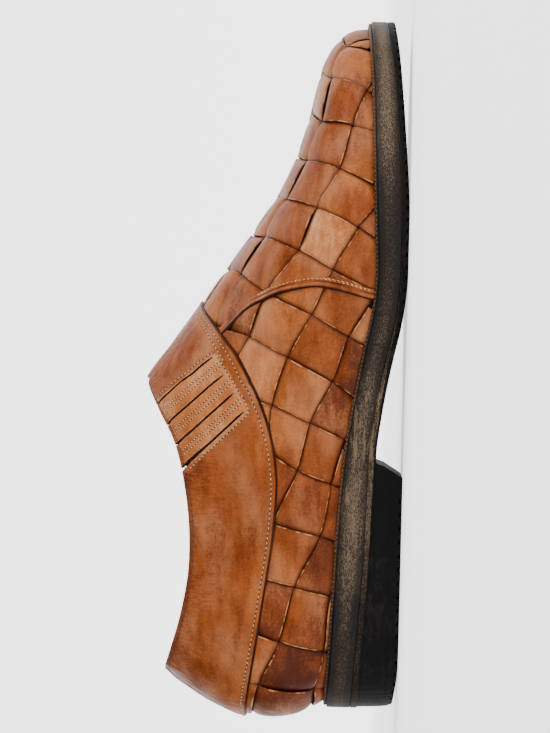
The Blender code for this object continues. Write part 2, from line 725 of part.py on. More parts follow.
def build_sole(last, collection, cutters):
    """The sole: rubber outsole with its notched edge, midsole, welt and insole."""
    plan = SoleOutline(last, SOLE_COLUMNS)
    fine = SoleOutline(last, LAST_COLUMNS)

    outlines = [plan.edge(EDGE_ROUND), plan.edge(), plan.edge()]
    heights = [raised("under", 0.0), raised("under", EDGE_ROUND), raised("under", OUTSOLE_THICK)]
    outsole = build_plate("outsole", outlines, heights, collection, RUBBER)
    spots = edge_spots(
        fine.edge(), fine.outward, raised("under", 0.0), TREAD_PITCH, lambda along: along > TREAD_BACK_END
    )
    add_boolean(outsole, notch_cutters("outsole_notches", spots, cutters), "DIFFERENCE")

    outlines = [plan.edge(), plan.edge(), plan.edge(EDGE_ROUND)]
    welt_foot = -WELT_THICK - GAP
    heights = [
        raised("under", OUTSOLE_THICK + GAP),
        raised("top", welt_foot - EDGE_ROUND),
        raised("top", welt_foot),
    ]
    build_plate("midsole", outlines, heights, collection, SOLE_EDGE)

    inside = WALL + GAP
    bm = bmesh.new()
    rings = [
        ring_of(bm, plan.inside(inside), raised("top", -WELT_THICK)),
        ring_of(bm, plan.edge(WELT_SET_BACK), raised("top", -WELT_THICK)),
        ring_of(bm, plan.edge(WELT_SET_BACK + 0.5 * EDGE_ROUND), raised("top", 0.0)),
        ring_of(bm, plan.inside(inside), raised("top", 0.0)),
    ]
    for lower, upper in zip(rings, rings[1:] + rings[:1]):
        bridge(bm, lower, upper)
    make_object("welt", bm, collection, WELT_EDGE)

    insole = plan.inside(inside + GAP)
    heights = [raised("top", -WELT_THICK), raised("top", INSOLE_THICK - WELT_THICK)]
    build_plate("insole", [insole, insole], heights, collection, INSOLE_LEATHER)


def heel_ring(plan, set_back, front):
    """The heel's outline, from the outer end of its breast round the back to the inner."""
    outline = plan.edge(set_back)
    half = len(outline) // 2
    sides = []
    for side in (outline[: half + 1], np.vstack((outline[half:], outline[:1]))[::-1]):
        corner = np.interp(-front, -side[:, 0], side[:, 1])
        behind = side[side[:, 0] < front - BREAST_CLEAR]
        sides.append(np.vstack(([front, corner], behind)))
    return np.vstack((sides[0], sides[1][-2::-1]))


def build_heel(last, collection, cutters):
    """The rubber heel, with its slanted breast and its notched foot."""
    plan = SoleOutline(last, SOLE_COLUMNS)
    foot_front = HEEL_BREAST_FOOT * LENGTH_SCALE
    top_front = HEEL_BREAST_TOP * LENGTH_SCALE
    low = heel_ring(plan, HEEL_SET_BACK + HEEL_TAPER, foot_front)
    middle = heel_ring(plan, HEEL_SET_BACK + HEEL_TAPER - EDGE_ROUND / 2, foot_front + EDGE_ROUND / 2)
    high = heel_ring(plan, HEEL_SET_BACK, top_front)
    count = min(len(low), len(middle), len(high))
    bm = bmesh.new()
    heights = (
        lambda along: np.zeros_like(along),
        lambda along: np.full_like(along, EDGE_ROUND),
        raised("under", -GAP),
    )
    rings = []
    for outline, height in zip((low, middle, high), heights):
        excess = (len(outline) - count) // 2
        trimmed = np.vstack((outline[:1], outline[1 + excess : len(outline) - 1 - excess], outline[-1:]))
        rings.append(ring_of(bm, trimmed, height))
    for lower, upper in zip(rings, rings[1:]):
        bridge(bm, lower, upper)
    cap_open(bm, rings[0])
    cap_open(bm, rings[-1])
    heel = make_object("heel", bm, collection, RUBBER)
    fine = SoleOutline(last, LAST_COLUMNS)
    spots = edge_spots(
        fine.edge(HEEL_SET_BACK + HEEL_TAPER),
        fine.outward,
        lambda along: np.zeros_like(along),
        HEEL_TREAD_PITCH,
        lambda along: along < HEEL_TREAD_FRONT_END,
    )
    add_boolean(heel, notch_cutters("heel_notches", spots, cutters), "DIFFERENCE")


def main():
    for item in list(bpy.data.objects):
        bpy.data.objects.remove(item, do_unlink=True)
    shoe = bpy.data.collections.new(SHOE)
    cutters = bpy.data.collections.new("cutters")
    for collection in (shoe, cutters):
        bpy.context.scene.collection.children.link(collection)
    last = Last()
    build_upper(last, shoe)
    build_collar(last, shoe, cutters)
    for inner in (False, True):
        build_ridge(last, inner, shoe)
    build_sole(last, shoe, cutters)
    build_heel(last, shoe, cutters)


main()
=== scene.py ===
"""A woven leather slip-on shoe, right foot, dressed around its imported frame.

The woven upper, the collar and the seam ridges all follow one surface, the Last, which is worked
out from the rows of SECTIONS. The sole pieces follow its foot outline and the rows of SOLE_LINE.
Sizes are in millimetres on the shoe itself: places along it are measured from the back of the heel
towards the toe, places across it from its middle line towards the inner side, and heights from the
ground. The scene is in metres, heel to toe along +X, with the outer side towards -Y.
"""

from __future__ import annotations

import logging
import math
from dataclasses import dataclass, field
from enum import Enum
from typing import NamedTuple, Sequence

import bpy
import numpy as np
from mathutils import Matrix, Vector
from mathutils.bvhtree import BVHTree

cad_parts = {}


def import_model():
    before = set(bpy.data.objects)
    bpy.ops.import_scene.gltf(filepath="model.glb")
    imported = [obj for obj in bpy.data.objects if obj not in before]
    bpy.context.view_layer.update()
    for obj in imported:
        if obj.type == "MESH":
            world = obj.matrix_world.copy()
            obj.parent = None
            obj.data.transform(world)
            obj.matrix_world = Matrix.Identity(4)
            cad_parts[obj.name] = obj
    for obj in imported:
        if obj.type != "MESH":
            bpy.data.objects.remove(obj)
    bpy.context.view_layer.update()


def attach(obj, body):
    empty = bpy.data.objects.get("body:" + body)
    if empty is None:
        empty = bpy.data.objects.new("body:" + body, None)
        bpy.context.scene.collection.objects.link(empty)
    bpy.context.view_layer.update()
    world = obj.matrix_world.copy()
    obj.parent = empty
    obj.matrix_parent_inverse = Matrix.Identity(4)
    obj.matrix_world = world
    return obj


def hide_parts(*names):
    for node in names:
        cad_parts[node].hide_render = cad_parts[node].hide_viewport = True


log = logging.getLogger("woven_slip_on")

Array = np.ndarray
Piece = bpy.types.Object
Material = bpy.types.Material
Socket = bpy.types.NodeSocket
Colour = tuple[float, float, float]
Value = Socket | float | Sequence[float]
MM = 0.001
BODY = "root"

# The shoe's own origin: the middle of its plan, on the ground.
ORIGIN_ALONG = 148.0
ORIGIN_ACROSS = -1.57

# Levels of the layers, in millimetres out from the surface of the last.
STRIP_OVER = 0.95
STRIP_MIDDLE = -0.55
STRIP_UNDER = -1.55
LINING_OUT = -2.55
LINING_THICK = 0.7
COLLAR_OUT = 1.85
COLLAR_TOP_OUT = 1.25
COLLAR_UNDER = 0.5
INNER_LEAF_OUT = -1.9
INNER_LEAF_THICK = 0.6


class Side(Enum):
    """The two sides of the shoe."""

    OUTER = "outer"
    INNER = "inner"


@dataclass(frozen=True)
class Section:
    """One section of the last, from the feather line to the crest or the topline.

    Attributes:
        along: Place of the feather line along the shoe.
        outer: Place of the feather line across the shoe, on the outer side.
        inner: The same on the inner side.
        margin: How far the sole reaches past the feather line.
        swell_outer: How far the wall swells past the feather line on the outer side.
        swell_inner: The same on the inner side.
        swell_rise: Height of the fullest place above the feather line.
        top_along: Place of the crest or the topline along the shoe.
        top_half: Its distance from the middle line.
        top_height: Its height.
        lean: The wall's angle from upright at its top, in degrees.
        full: How square the wall's bend is.
        fall: Slope of the crest towards the toe.
    """

    along: float
    outer: float
    inner: float
    margin: float
    swell_outer: float
    swell_inner: float
    swell_rise: float
    top_along: float
    top_half: float
    top_height: float
    lean: float
    full: float
    fall: float


class Place(NamedTuple):
    """A place on a side of the shoe: how far along it and how high."""

    along: float
    up: float


def places(*numbers: float) -> list[Place]:
    """Places from pairs of numbers, each along and up."""
    return [Place(*pair) for pair in zip(numbers[::2], numbers[1::2])]


@dataclass(frozen=True)
class SoleRow:
    """Heights of the sole's under side and of its top at a place along the shoe."""

    along: float
    under: float
    top: float


SECTIONS = [
    Section(297.3, 3.0, 3.0, 3.0, 0.0, 0.0, 1.5, 262.6, 0.0, 41.6, 90, 0.63, 0.20),
    Section(293.3, -11.5, 17.5, 3.1, 0.1, 0.1, 2.4, 260.6, 0.0, 42.0, 90, 0.63, 0.20),
    Section(283.8, -25.0, 30.5, 3.3, 0.5, 0.5, 4.4, 256.6, 0.0, 42.9, 90, 0.62, 0.23),
    Section(268.3, -35.8, 39.3, 3.6, 1.2, 1.0, 6.4, 249.7, 0.0, 44.9, 90, 0.60, 0.30),
    Section(248.3, -43.4, 45.0, 3.9, 1.8, 1.4, 9.4, 238.7, 0.0, 48.6, 90, 0.58, 0.38),
    Section(226.2, -48.8, 47.8, 4.1, 2.2, 1.8, 10.5, 222.8, 0.0, 56.1, 90, 0.56, 0.54),
    Section(205.2, -51.0, 46.6, 4.2, 2.3, 2.2, 12.5, 206.0, 0.0, 66.9, 90, 0.55, 0.63),
    Section(180.2, -48.2, 40.2, 4.0, 2.4, 3.4, 14.5, 183.2, 0.0, 82.3, 90, 0.55, 0.66),
    Section(157.3, -42.4, 32.8, 3.7, 2.6, 5.0, 16.5, 161.4, 0.0, 96.8, 90, 0.55, 0.70),
    Section(141.3, -38.4, 29.4, 3.5, 2.8, 6.2, 17.5, 142.6, 0.0, 110.5, 90, 0.55, 0.55),
    Section(133.8, -37.0, 28.6, 3.5, 2.9, 6.6, 17.5, 140.0, 11.5, 109.7, 69, 0.45, 0.20),
    Section(124.3, -35.8, 28.2, 3.5, 3.0, 6.7, 17.5, 131.5, 18.6, 105.6, 54, 0.40, 0.00),
    Section(109.4, -34.5, 28.4, 3.5, 3.0, 6.3, 17.5, 115.4, 24.2, 97.2, 35, 0.36, 0.00),
    Section(88.4, -33.4, 29.4, 3.5, 3.0, 5.0, 17.5, 91.3, 27.0, 91.3, 20, 0.35, 0.00),
    Section(62.4, -32.7, 31.2, 3.6, 2.8, 3.4, 17.5, 64.3, 27.3, 89.6, 14, 0.35, 0.00),
    Section(36.4, -31.2, 31.2, 3.8, 3.2, 3.2, 18.5, 41.8, 24.2, 92.8, 17, 0.36, 0.00),
    Section(16.4, -24.4, 24.4, 4.0, 4.8, 4.8, 20.5, 26.4, 17.6, 97.0, 25, 0.36, 0.00),
    Section(7.4, -13.2, 13.2, 4.2, 7.2, 7.2, 23.5, 19.0, 9.2, 99.4, 32, 0.36, 0.00),
    Section(4.8, 0.0, 0.0, 4.4, 8.2, 8.2, 24.5, 16.8, 0.0, 100.2, 34, 0.36, 0.00),
]

SOLE_LINE = [
    SoleRow(*row)
    for row in (
        (302.2, 7.9, 19.5), (282.2, 5.3, 17.8), (262.2, 3.4, 16.6), (240.1, 1.6, 15.7),
        (226.1, 0.6, 15.1), (212.1, 0.0, 14.4), (188.1, 0.0, 13.6), (178.1, 0.6, 14.1),
        (166.1, 2.3, 16.0), (153.2, 5.1, 18.6), (139.2, 7.8, 21.1), (126.2, 9.8, 23.3),
        (113.2, 11.3, 25.1), (95.3, 11.8, 26.8), (65.3, 12.8, 28.4), (35.3, 14.7, 29.7),
        (-5.7, 17.4, 32.2),
    )
]

# The collar's lower edge, from the crest to the back of the heel.
COLLAR_FRONT = 175.3
COLLAR_EDGE = places(
    170.4, 84.9, 161.8, 77.9, 153.5, 71.2, 141.1, 64.3, 123.6, 57.2,
    102.2, 53.2, 80.8, 53.8, 53.5, 57.0, 29.0, 60.4, 9.5, 63.4,
)
COLLAR_EDGE_BACK = 64.7

# The raised seam, from the collar's edge down to the welt.
RIDGE_LINE = places(
    163.9, 76.0, 171.1, 69.3, 178.3, 57.6, 182.1, 46.2,
    183.3, 38.0, 182.3, 29.9, 180.5, 22.7, 178.8, 16.2,
)

# The middle lines of the slits beside the first and the last strap, from the topline down.
FIRST_SLIT = (Place(131.1, 105.7), Place(151.6, 81.3))
LAST_SLIT = (Place(105.0, 92.5), Place(129.0, 67.8))
STRAPS_A_SIDE = 3


def cubic(knots: Array, values: Array, tangents: Array, places: Array) -> Array:
    """Read the cubic pieces that have given values and tangents at rising knots.

    Args:
        knots: The rising knots.
        values: A value for each knot, a number or a vector.
        tangents: The slope at each knot.
        places: Where to read the curve.

    Returns:
        A value for each place.
    """
    places = np.clip(places, knots[0], knots[-1])
    steps = np.diff(knots)
    span = np.clip(np.searchsorted(knots, places, side="right") - 1, 0, len(steps) - 1)
    t = (places - knots[span]) / steps[span]
    step = steps[span]
    if values.ndim > 1:
        t, step = t[..., None], step[..., None]
    before = values[span] * (1 + 2 * t) + tangents[span] * step * t
    after = values[span + 1] * (3 - 2 * t) + tangents[span + 1] * step * (t - 1)
    return before * (1 - t) ** 2 + after * t**2


def slopes_at(knots: Array, values: Array) -> Array:
    """Slopes of the smooth curve through values at rising knots, along the first axis."""
    steps = np.diff(knots).reshape((-1,) + (1,) * (values.ndim - 1))
    slopes = np.diff(values, axis=0) / steps
    inner = (slopes[:-1] * steps[1:] + slopes[1:] * steps[:-1]) / (steps[:-1] + steps[1:])
    return np.concatenate((slopes[:1], inner, slopes[-1:]))


def smooth(knots: Sequence[float], values: Sequence[float], places: Array) -> Array:
    """Read a smooth curve through values at rising knots, at each of places."""
    knots, values = np.asarray(knots, float), np.asarray(values, float)
    return cubic(knots, values, slopes_at(knots, values), np.asarray(places, float))


def monotone(knots: Sequence[float], values: Sequence[float], places: Array) -> Array:
    """Read a curve through values that never swings past them, so flats stay flat."""
    knots, values = np.asarray(knots, float), np.asarray(values, float)
    slopes = np.diff(values) / np.diff(knots)
    same_way = slopes[:-1] * slopes[1:] > 0
    harmonic = 2 * slopes[:-1] * slopes[1:] / np.where(same_way, slopes[:-1] + slopes[1:], 1)
    tangents = np.concatenate((slopes[:1], np.where(same_way, harmonic, 0), slopes[-1:]))
    return cubic(knots, values, tangents, places)


def lengths_along(line: Array) -> Array:
    """How far each point of a line lies from its first, along the line."""
    return np.concatenate(([0], np.cumsum(np.linalg.norm(np.diff(line, axis=0), axis=1))))


def read_table(knots: Array, table: Array, at: Array) -> Array:
    """Every column of a table, read at values between its knots."""
    return np.stack([np.interp(at, knots, column) for column in table.T], axis=-1)


def read_line(line: Array, reached: Array) -> Array:
    """Points of a line at distances along it."""
    return read_table(lengths_along(line), line, reached)


def close_ring(points: Array) -> Array:
    """The same ring, or rows of rings, with the first point again at the end."""
    return np.concatenate((points, points[..., :1, :]), axis=-2)


def evenly(line: Array, count: int) -> Array:
    """Points spaced evenly along a line, from its first to its last."""
    return read_line(line, np.linspace(0, lengths_along(line)[-1], count))


def unit(vectors: Array) -> Array:
    """The same directions with length one."""
    return vectors / np.maximum(np.linalg.norm(vectors, axis=-1, keepdims=True), 1e-9)


def ease(low: float, high: float, value: Array) -> Array:
    """Rise smoothly from 0 at low to 1 at high."""
    t = np.clip((np.asarray(value, float) - low) / (high - low), 0, 1)
    return t * t * (3 - 2 * t)


def sole_height(column: str, along: Array) -> Array:
    """Height of the sole's under side or top at places along the shoe."""
    rows = sorted(SOLE_LINE, key=lambda row: row.along)
    return monotone([row.along for row in rows], [getattr(row, column) for row in rows], along)


def to_scene(points: Array) -> Array:
    """Turn points on the shoe, in millimetres, into scene points, in metres."""
    return (np.asarray(points, float) - (ORIGIN_ALONG, ORIGIN_ACROSS, 0.0)) * MM


class Last:
    """The surface that the whole upper follows.

    A point on it is (turn, climb): turn runs 0 at the toe, 1 at the back of the heel and on to 2
    at the toe again, along the outer and then the inner side. climb runs from 0 at the feather
    line to 1 on the crest or the topline, and is evenly spaced over the wall.
    """

    COLUMNS = 720
    ROWS = 97
    SKIRT_ROWS = 26
    WRAP = 4
    LOW_HANDLE = 0.4
    BEND_BACK = 110.0
    BEND_FRONT = 260.0
    BEND_ACROSS = 2.4

    def __init__(self) -> None:
        self.turns, self.knots = self._row_turns()
        self.throat = max(at for at, row in enumerate(SECTIONS[:-1]) if row.top_half == 0)
        turns = np.linspace(0, 2, self.COLUMNS, endpoint=False)
        self.feather, self.outward = self._feather(turns)
        self.grid, self.girth = self._wall_grid(turns)
        self.normals = self._grid_normals()
        self.tree = self._search_tree()

    def _row_turns(self) -> tuple[Array, Array]:
        """Give each section its turn, in step with its distance along the feather line."""
        outer = np.array([(row.along, row.outer) for row in SECTIONS])
        inner = np.array([(row.along, row.inner) for row in SECTIONS])
        steps = sum(np.linalg.norm(np.diff(line, axis=0), axis=1) for line in (outer, inner))
        half = np.concatenate(([0], np.cumsum(steps))) / steps.sum()
        loop = np.concatenate((half, 2 - half[-2:0:-1]))
        knots = np.concatenate((loop[-self.WRAP :] - 2, loop, loop[: self.WRAP] + 2))
        return half, knots

    def around(self, outer: Sequence[float], inner: Sequence[float], turns: Array) -> Array:
        """Read a column of the table smoothly all the way round the shoe."""
        outer, inner = np.asarray(outer, float), np.asarray(inner, float)
        loop = np.concatenate((outer, inner[-2:0:-1]))
        values = np.concatenate((loop[-self.WRAP :], loop, loop[: self.WRAP]))
        return smooth(self.knots, values, turns)

    def shared(self, name: str, turns: Array) -> Array:
        """Read a column of the table that both sides share."""
        values = [getattr(row, name) for row in SECTIONS]
        return self.around(values, values, turns)

    def _feather(self, turns: Array) -> tuple[Array, Array]:
        """The feather line at each turn, with its outward direction in plan."""
        sides = [row.outer for row in SECTIONS], [row.inner for row in SECTIONS]
        line = np.stack((self.shared("along", turns), self.around(*sides, turns)), axis=-1)
        way = np.gradient(np.vstack((line[-1], line, line[0])), axis=0)[1:-1]
        outward = unit(np.stack((way[:, 1], -way[:, 0]), axis=-1))
        if np.sum(outward * (line - line.mean(axis=0))) < 0:
            outward = -outward
        return line, outward

    def _wall_grid(self, turns: Array) -> tuple[Array, Array]:
        """Points of the wall, evenly spaced up each column, and the length of each column."""
        foot = np.column_stack((self.feather, sole_height("top", self.feather[:, 0])))
        sides = [row.swell_outer for row in SECTIONS], [row.swell_inner for row in SECTIONS]
        swell = self.outward * self.around(*sides, turns)[:, None]
        waist = foot + np.column_stack((swell, self.shared("swell_rise", turns)))
        top = self._top(turns)
        lean = np.radians(self.shared("lean", turns))
        full = self.shared("full", turns)
        low_handle = waist.copy()
        low_handle[:, 2] = foot[:, 2] + self.LOW_HANDLE * (waist[:, 2] - foot[:, 2])
        rise = waist.copy()
        rise[:, 2] += full * (top[:, 2] - waist[:, 2])
        outward = waist[:, :2] - top[:, :2]
        reach = np.linalg.norm(outward, axis=1)
        outward /= reach[:, None]
        handle = full * (reach * np.sin(lean) + (top[:, 2] - waist[:, 2]) * np.cos(lean))
        down = -np.cos(lean) - np.sin(lean) * self.shared("fall", turns) * outward[:, 0]
        bend = top + handle[:, None] * np.column_stack((outward * np.sin(lean)[:, None], down))
        t = np.linspace(0, 1, self.ROWS)[:, None, None]
        s = 1 - t
        lower = foot * s**2 + low_handle * 2 * t * s + waist * t**2
        upper = waist * s**3 + rise * 3 * t * s**2 + bend * 3 * t**2 * s + top * t**3
        columns = np.concatenate((lower, upper[1:])).swapaxes(0, 1)
        grid = np.array([evenly(column, self.ROWS) for column in columns])
        return grid, np.array([lengths_along(column)[-1] for column in columns])

    def _top(self, turns: Array) -> Array:
        """The crest and the topline: two smooth runs that meet at the throat."""
        throat = self.throat
        closed = np.concatenate((-self.turns[throat:0:-1], self.turns[: throat + 1]))
        opened = np.concatenate((self.turns[throat:], 2 - self.turns[-2 : throat - 1 : -1]))
        behind = (turns > self.turns[throat]) & (turns < 2 - self.turns[throat])
        signed = np.where(turns > 1, turns - 2, turns)
        columns = []
        for name, outer_sign in (("top_along", 1), ("top_half", -1), ("top_height", 1)):
            values = np.array([getattr(row, name) for row in SECTIONS])
            front = np.concatenate((values[throat:0:-1], values[: throat + 1]))
            back = np.concatenate((values[throat:] * outer_sign, values[-2 : throat - 1 : -1]))
            front, back = smooth(closed, front, signed), smooth(opened, back, turns)
            columns.append(np.where(behind, back, front))
        top = np.column_stack(columns)
        top[:, 1] += self.middle_line(top[:, 0])
        return top

    def middle_line(self, along: Array) -> Array:
        """How far the crest lies towards the inner side, as the forepart bends inwards."""
        return self.BEND_ACROSS * ease(self.BEND_BACK, self.BEND_FRONT, along)

    def _grid_normals(self) -> Array:
        """Outward normals of the grid."""
        looped = np.concatenate((self.grid[-1:], self.grid, self.grid[:1]))
        along = np.gradient(looped, axis=0)[1:-1]
        normals = unit(np.cross(np.gradient(self.grid, axis=1), along))
        low = self.ROWS // 4
        outside = self.grid[:, low, :2] - self.grid[:, low, :2].mean(axis=0)
        if np.sum(normals[:, low, :2] * outside) < 0:
            normals = -normals
        return normals

    def _search_tree(self) -> BVHTree:
        """A search tree over the wall, with a skirt that carries on below the feather line."""
        climbs = np.arange(-self.SKIRT_ROWS, self.ROWS) / (self.ROWS - 1)
        turns = np.linspace(0, 2, self.COLUMNS, endpoint=False)
        points = self.point(*np.meshgrid(turns, climbs, indexing="ij"))
        rows = len(climbs)
        column, row = np.meshgrid(np.arange(self.COLUMNS), np.arange(rows - 1), indexing="ij")
        here, after = column * rows + row, (column + 1) % self.COLUMNS * rows + row
        faces = np.stack((here, after, after + 1, here + 1), axis=-1).reshape(-1, 4)
        return BVHTree.FromPolygons(points.reshape(-1, 3).tolist(), faces.tolist())

    def read(self, table: Array, turn: Array, climb: Array) -> Array:
        """Read a table of the grid between its columns and rows, and straight on past its ends."""
        turn = np.mod(np.asarray(turn, float), 2) / 2 * self.COLUMNS
        climb = np.asarray(climb, float) * (self.ROWS - 1)
        left = np.floor(turn).astype(int)
        low = np.clip(np.floor(climb).astype(int), 0, self.ROWS - 2)
        s, t = (turn - left)[..., None], (climb - low)[..., None]
        left, right = left % self.COLUMNS, (left + 1) % self.COLUMNS
        below = table[left, low] * (1 - s) + table[right, low] * s
        above = table[left, low + 1] * (1 - s) + table[right, low + 1] * s
        return below * (1 - t) + above * t

    def normal(self, turn: Array, climb: Array) -> Array:
        """Outward normal at (turn, climb)."""
        return unit(self.read(self.normals, turn, np.clip(climb, 0, 1)))

    def point(self, turn: Array, climb: Array, out: Array | float = 0.0) -> Array:
        """A point of the surface, or of one that lies out from it."""
        out = np.asarray(out, float)[..., None]
        return self.read(self.grid, turn, climb) + self.normal(turn, climb) * out

    def girth_at(self, turn: Array) -> Array:
        """Length of the wall's section at a turn."""
        columns = np.mod(np.asarray(turn, float), 2) / 2 * self.COLUMNS
        looped = np.append(self.girth, self.girth[0])
        return np.interp(columns, np.arange(self.COLUMNS + 1), looped)

    def beside(self, place: Place, side: Side = Side.OUTER) -> Array:
        """The (turn, climb) of a place that the side view shows.

        Args:
            place: Where it is along the shoe and how high.
            side: Which side of the shoe it is on.

        Returns:
            The turn and the climb.
        """
        half = self.COLUMNS // 2
        first = half if side is Side.INNER else 0
        wall = self.grid[first : first + half]
        target = np.array(place)
        miss = np.sum((wall[..., (0, 2)] - target) ** 2, axis=2)
        column, row = np.unravel_index(np.argmin(miss), miss.shape)
        spot = np.array(((first + column) / self.COLUMNS * 2, row / (self.ROWS - 1)))
        step = 1e-3
        for _ in range(6):
            here = self.point(*spot)[[0, 2]]
            by_turn = (self.point(spot[0] + step, spot[1])[[0, 2]] - here) / step
            by_climb = (here - self.point(spot[0], spot[1] - step)[[0, 2]]) / step
            spot = spot + np.linalg.solve(np.column_stack((by_turn, by_climb)), target - here)
        return spot

    def line_beside(self, places: Sequence[Place], side: Side = Side.OUTER) -> Array:
        """The (turn, climb) of each of some places that the side view shows."""
        return np.array([self.beside(place, side) for place in places])

    def throat_turn(self) -> float:
        """The turn of the front of the collar opening, on the outer side."""
        return float(self.turns[self.throat])

    def centre(self, along: float) -> Array:
        """The (turn, climb) on the crest, or on the toe in front of it, at a place along."""
        climbs = np.linspace(0, 1, self.ROWS)
        toe = self.point(np.zeros(self.ROWS), climbs)[:, 0]
        if along > toe[-1]:
            return np.array((0.0, np.interp(-along, -toe, climbs)))
        turns = np.linspace(0, self.throat_turn(), self.COLUMNS)
        tops = self.point(turns, np.ones_like(turns))[:, 0]
        return np.array((np.interp(-along, -tops, turns), 1.0))

    def settle(self, points: Array) -> tuple[Array, Array]:
        """Lay points onto the surface.

        Args:
            points: Points near the surface, any number of them along the first axis.

        Returns:
            The turn and the climb of the nearest place for each point.
        """
        found = [self.tree.find_nearest(Vector(point)) for point in points]
        spots = np.array([spot[0] for spot in found])
        column, row = np.divmod([spot[2] for spot in found], self.ROWS + self.SKIRT_ROWS - 1)
        step = 1 / (self.ROWS - 1)
        turn, climb = column / self.COLUMNS * 2, (row - self.SKIRT_ROWS) * step
        corner = self.point(turn, climb)
        by_turn = self.point(turn + 2 / self.COLUMNS, climb) - corner
        by_climb = self.point(turn, climb + step) - corner
        away = spots - corner
        tt, cc = np.sum(by_turn**2, axis=1), np.sum(by_climb**2, axis=1)
        tc = np.sum(by_turn * by_climb, axis=1)
        at, ac = np.sum(away * by_turn, axis=1), np.sum(away * by_climb, axis=1)
        whole = np.maximum(tt * cc - tc * tc, 1e-12)
        share_turn = np.clip((at * cc - ac * tc) / whole, 0, 1)
        share_climb = np.clip((ac * tt - at * tc) / whole, 0, 1)
        return turn + share_turn * 2 / self.COLUMNS, climb + share_climb * step


class CollarLine:
    """The collar's lower edge on the last, and the columns that climb from it to the topline."""

    def __init__(self, last: Last) -> None:
        self.last = last
        climbs = np.linspace(0, 1, last.ROWS)
        back = np.interp(COLLAR_EDGE_BACK, last.point(np.ones(last.ROWS), climbs)[:, 2], climbs)
        edge = np.array(COLLAR_EDGE)
        reached = lengths_along(edge)
        fine = [smooth(reached, axis, np.linspace(0, reached[-1], 60)) for axis in edge.T]
        beside = last.line_beside(list(zip(*fine)))
        line = [last.centre(COLLAR_FRONT), *beside, np.array((1.0, back))]
        # The first corner is the inner side's, so that the edge rounds the crest.
        self.corners = np.array([line[1] * (1, -1) + (0, 2), *line])
        self.knots = lengths_along(self.corners)
        self.knots = (self.knots - self.knots[1]) / (self.knots[-1] - self.knots[1])
        fine = self.edge(np.linspace(0, 1, 400))
        self.edge_turns, self.edge_climbs = fine[:, 0], fine[:, 1]

    def edge(self, share: Array) -> Array:
        """The (turn, climb) of the lower edge, a share of the way from the crest to the back."""
        share = np.asarray(share, float)
        folded = np.where(share > 1, 2 - share, share)
        spot = np.stack([smooth(self.knots, axis, folded) for axis in self.corners.T], axis=-1)
        spot[..., 0] = np.where(share > 1, 2 - spot[..., 0], spot[..., 0])
        return spot

    def top_turn(self, turn: Array) -> Array:
        """The turn on the topline that faces a turn of the lower edge."""
        folded = np.where(turn > 1, 2 - turn, turn)
        throat, first = self.last.throat_turn(), self.corners[1, 0]
        top = throat + (1 - throat) * (folded - first) / (1 - first)
        return np.where(turn > 1, 2 - top, top)

    def above(self, turn: Array, climb: Array) -> Array:
        """How far a place lies above the collar's lower edge, in millimetres."""
        folded = np.mod(turn, 2)
        folded = np.where(folded > 1, 2 - folded, folded)
        edge = np.interp(folded, self.edge_turns, self.edge_climbs, left=9.0)
        return (climb - edge) * self.last.girth_at(turn)


# Every new piece starts as one of Blender's primitives and is shaped from there.


def select_only(*pieces: Piece) -> None:
    """Select some pieces and nothing else, and make the first one active."""
    bpy.ops.object.select_all(action="DESELECT")
    for piece in pieces:
        piece.select_set(True)
    bpy.context.view_layer.objects.active = pieces[0]


def lay_grid(name: str, points: Array, marks: dict[str, Array] | None = None) -> Piece:
    """Add a grid and pull its corners to places on the shoe.

    Args:
        name: Name of the piece.
        points: Places of the corners, rows by columns, in millimetres on the shoe.
        marks: Values that the finish reads, by name, one for each corner.

    Returns:
        The new piece.
    """
    rows, columns = points.shape[:2]
    bpy.ops.mesh.primitive_grid_add(
        x_subdivisions=columns - 1, y_subdivisions=rows - 1, size=1, calc_uvs=False
    )
    piece = bpy.context.object
    piece.name = piece.data.name = name
    piece.data.vertices.foreach_set("co", to_scene(points).ravel())
    for mark, values in (marks or {}).items():
        layer = piece.data.attributes.new(mark, "FLOAT", "POINT")
        layer.data.foreach_set("value", np.broadcast_to(values, (rows, columns)).ravel())
    piece.data.update()
    return piece


def join(name: str, pieces: Sequence[Piece]) -> Piece:
    """Make one piece of several."""
    select_only(*pieces)
    if len(pieces) > 1:
        bpy.ops.object.join()
    piece = bpy.context.object
    piece.name = piece.data.name = name
    return piece


def close_up(piece: Piece, angle: float = 40.0, fill: bool = True) -> Piece:
    """Merge the seams of a closed form, fill its ends, face it outwards and shade it smooth."""
    select_only(piece)
    bpy.ops.object.mode_set(mode="EDIT")
    bpy.ops.mesh.select_all(action="SELECT")
    bpy.ops.mesh.remove_doubles(threshold=2e-6)
    if fill:
        bpy.ops.mesh.fill_holes(sides=0)
    bpy.ops.mesh.select_all(action="SELECT")
    bpy.ops.mesh.normals_make_consistent(inside=False)
    bpy.ops.object.mode_set(mode="OBJECT")
    bpy.ops.object.shade_smooth_by_angle(angle=math.radians(angle))
    return piece


def chance(*seeds: float) -> float:
    """A fixed number from 0 to 1 for some seeds."""
    total = sum((at + 1) * 12.9898 * seed for at, seed in enumerate(seeds)) + 4.1414
    return math.modf(abs(math.sin(total) * 43758.5453))[0]


def ripple(points: Array, size: float, seed: int, waves: int = 7) -> Array:
    """A soft uneven field through space, from about -1 to 1.

    Args:
        points: Places, in millimetres.
        size: Rough size of its humps, in millimetres.
        seed: Which field of this kind.
        waves: How many waves are laid over each other.

    Returns:
        A value for each place.
    """
    total = np.zeros(points.shape[:-1])
    for wave in range(waves):
        way = np.array([chance(seed, wave, axis) - 0.5 for axis in range(3)])
        way *= 2 * math.pi / size * (0.6 + 0.9 * chance(seed, wave, 7)) / np.linalg.norm(way)
        total += np.sin(points @ way + 6.28 * chance(seed, wave, 9))
    return total / math.sqrt(waves)


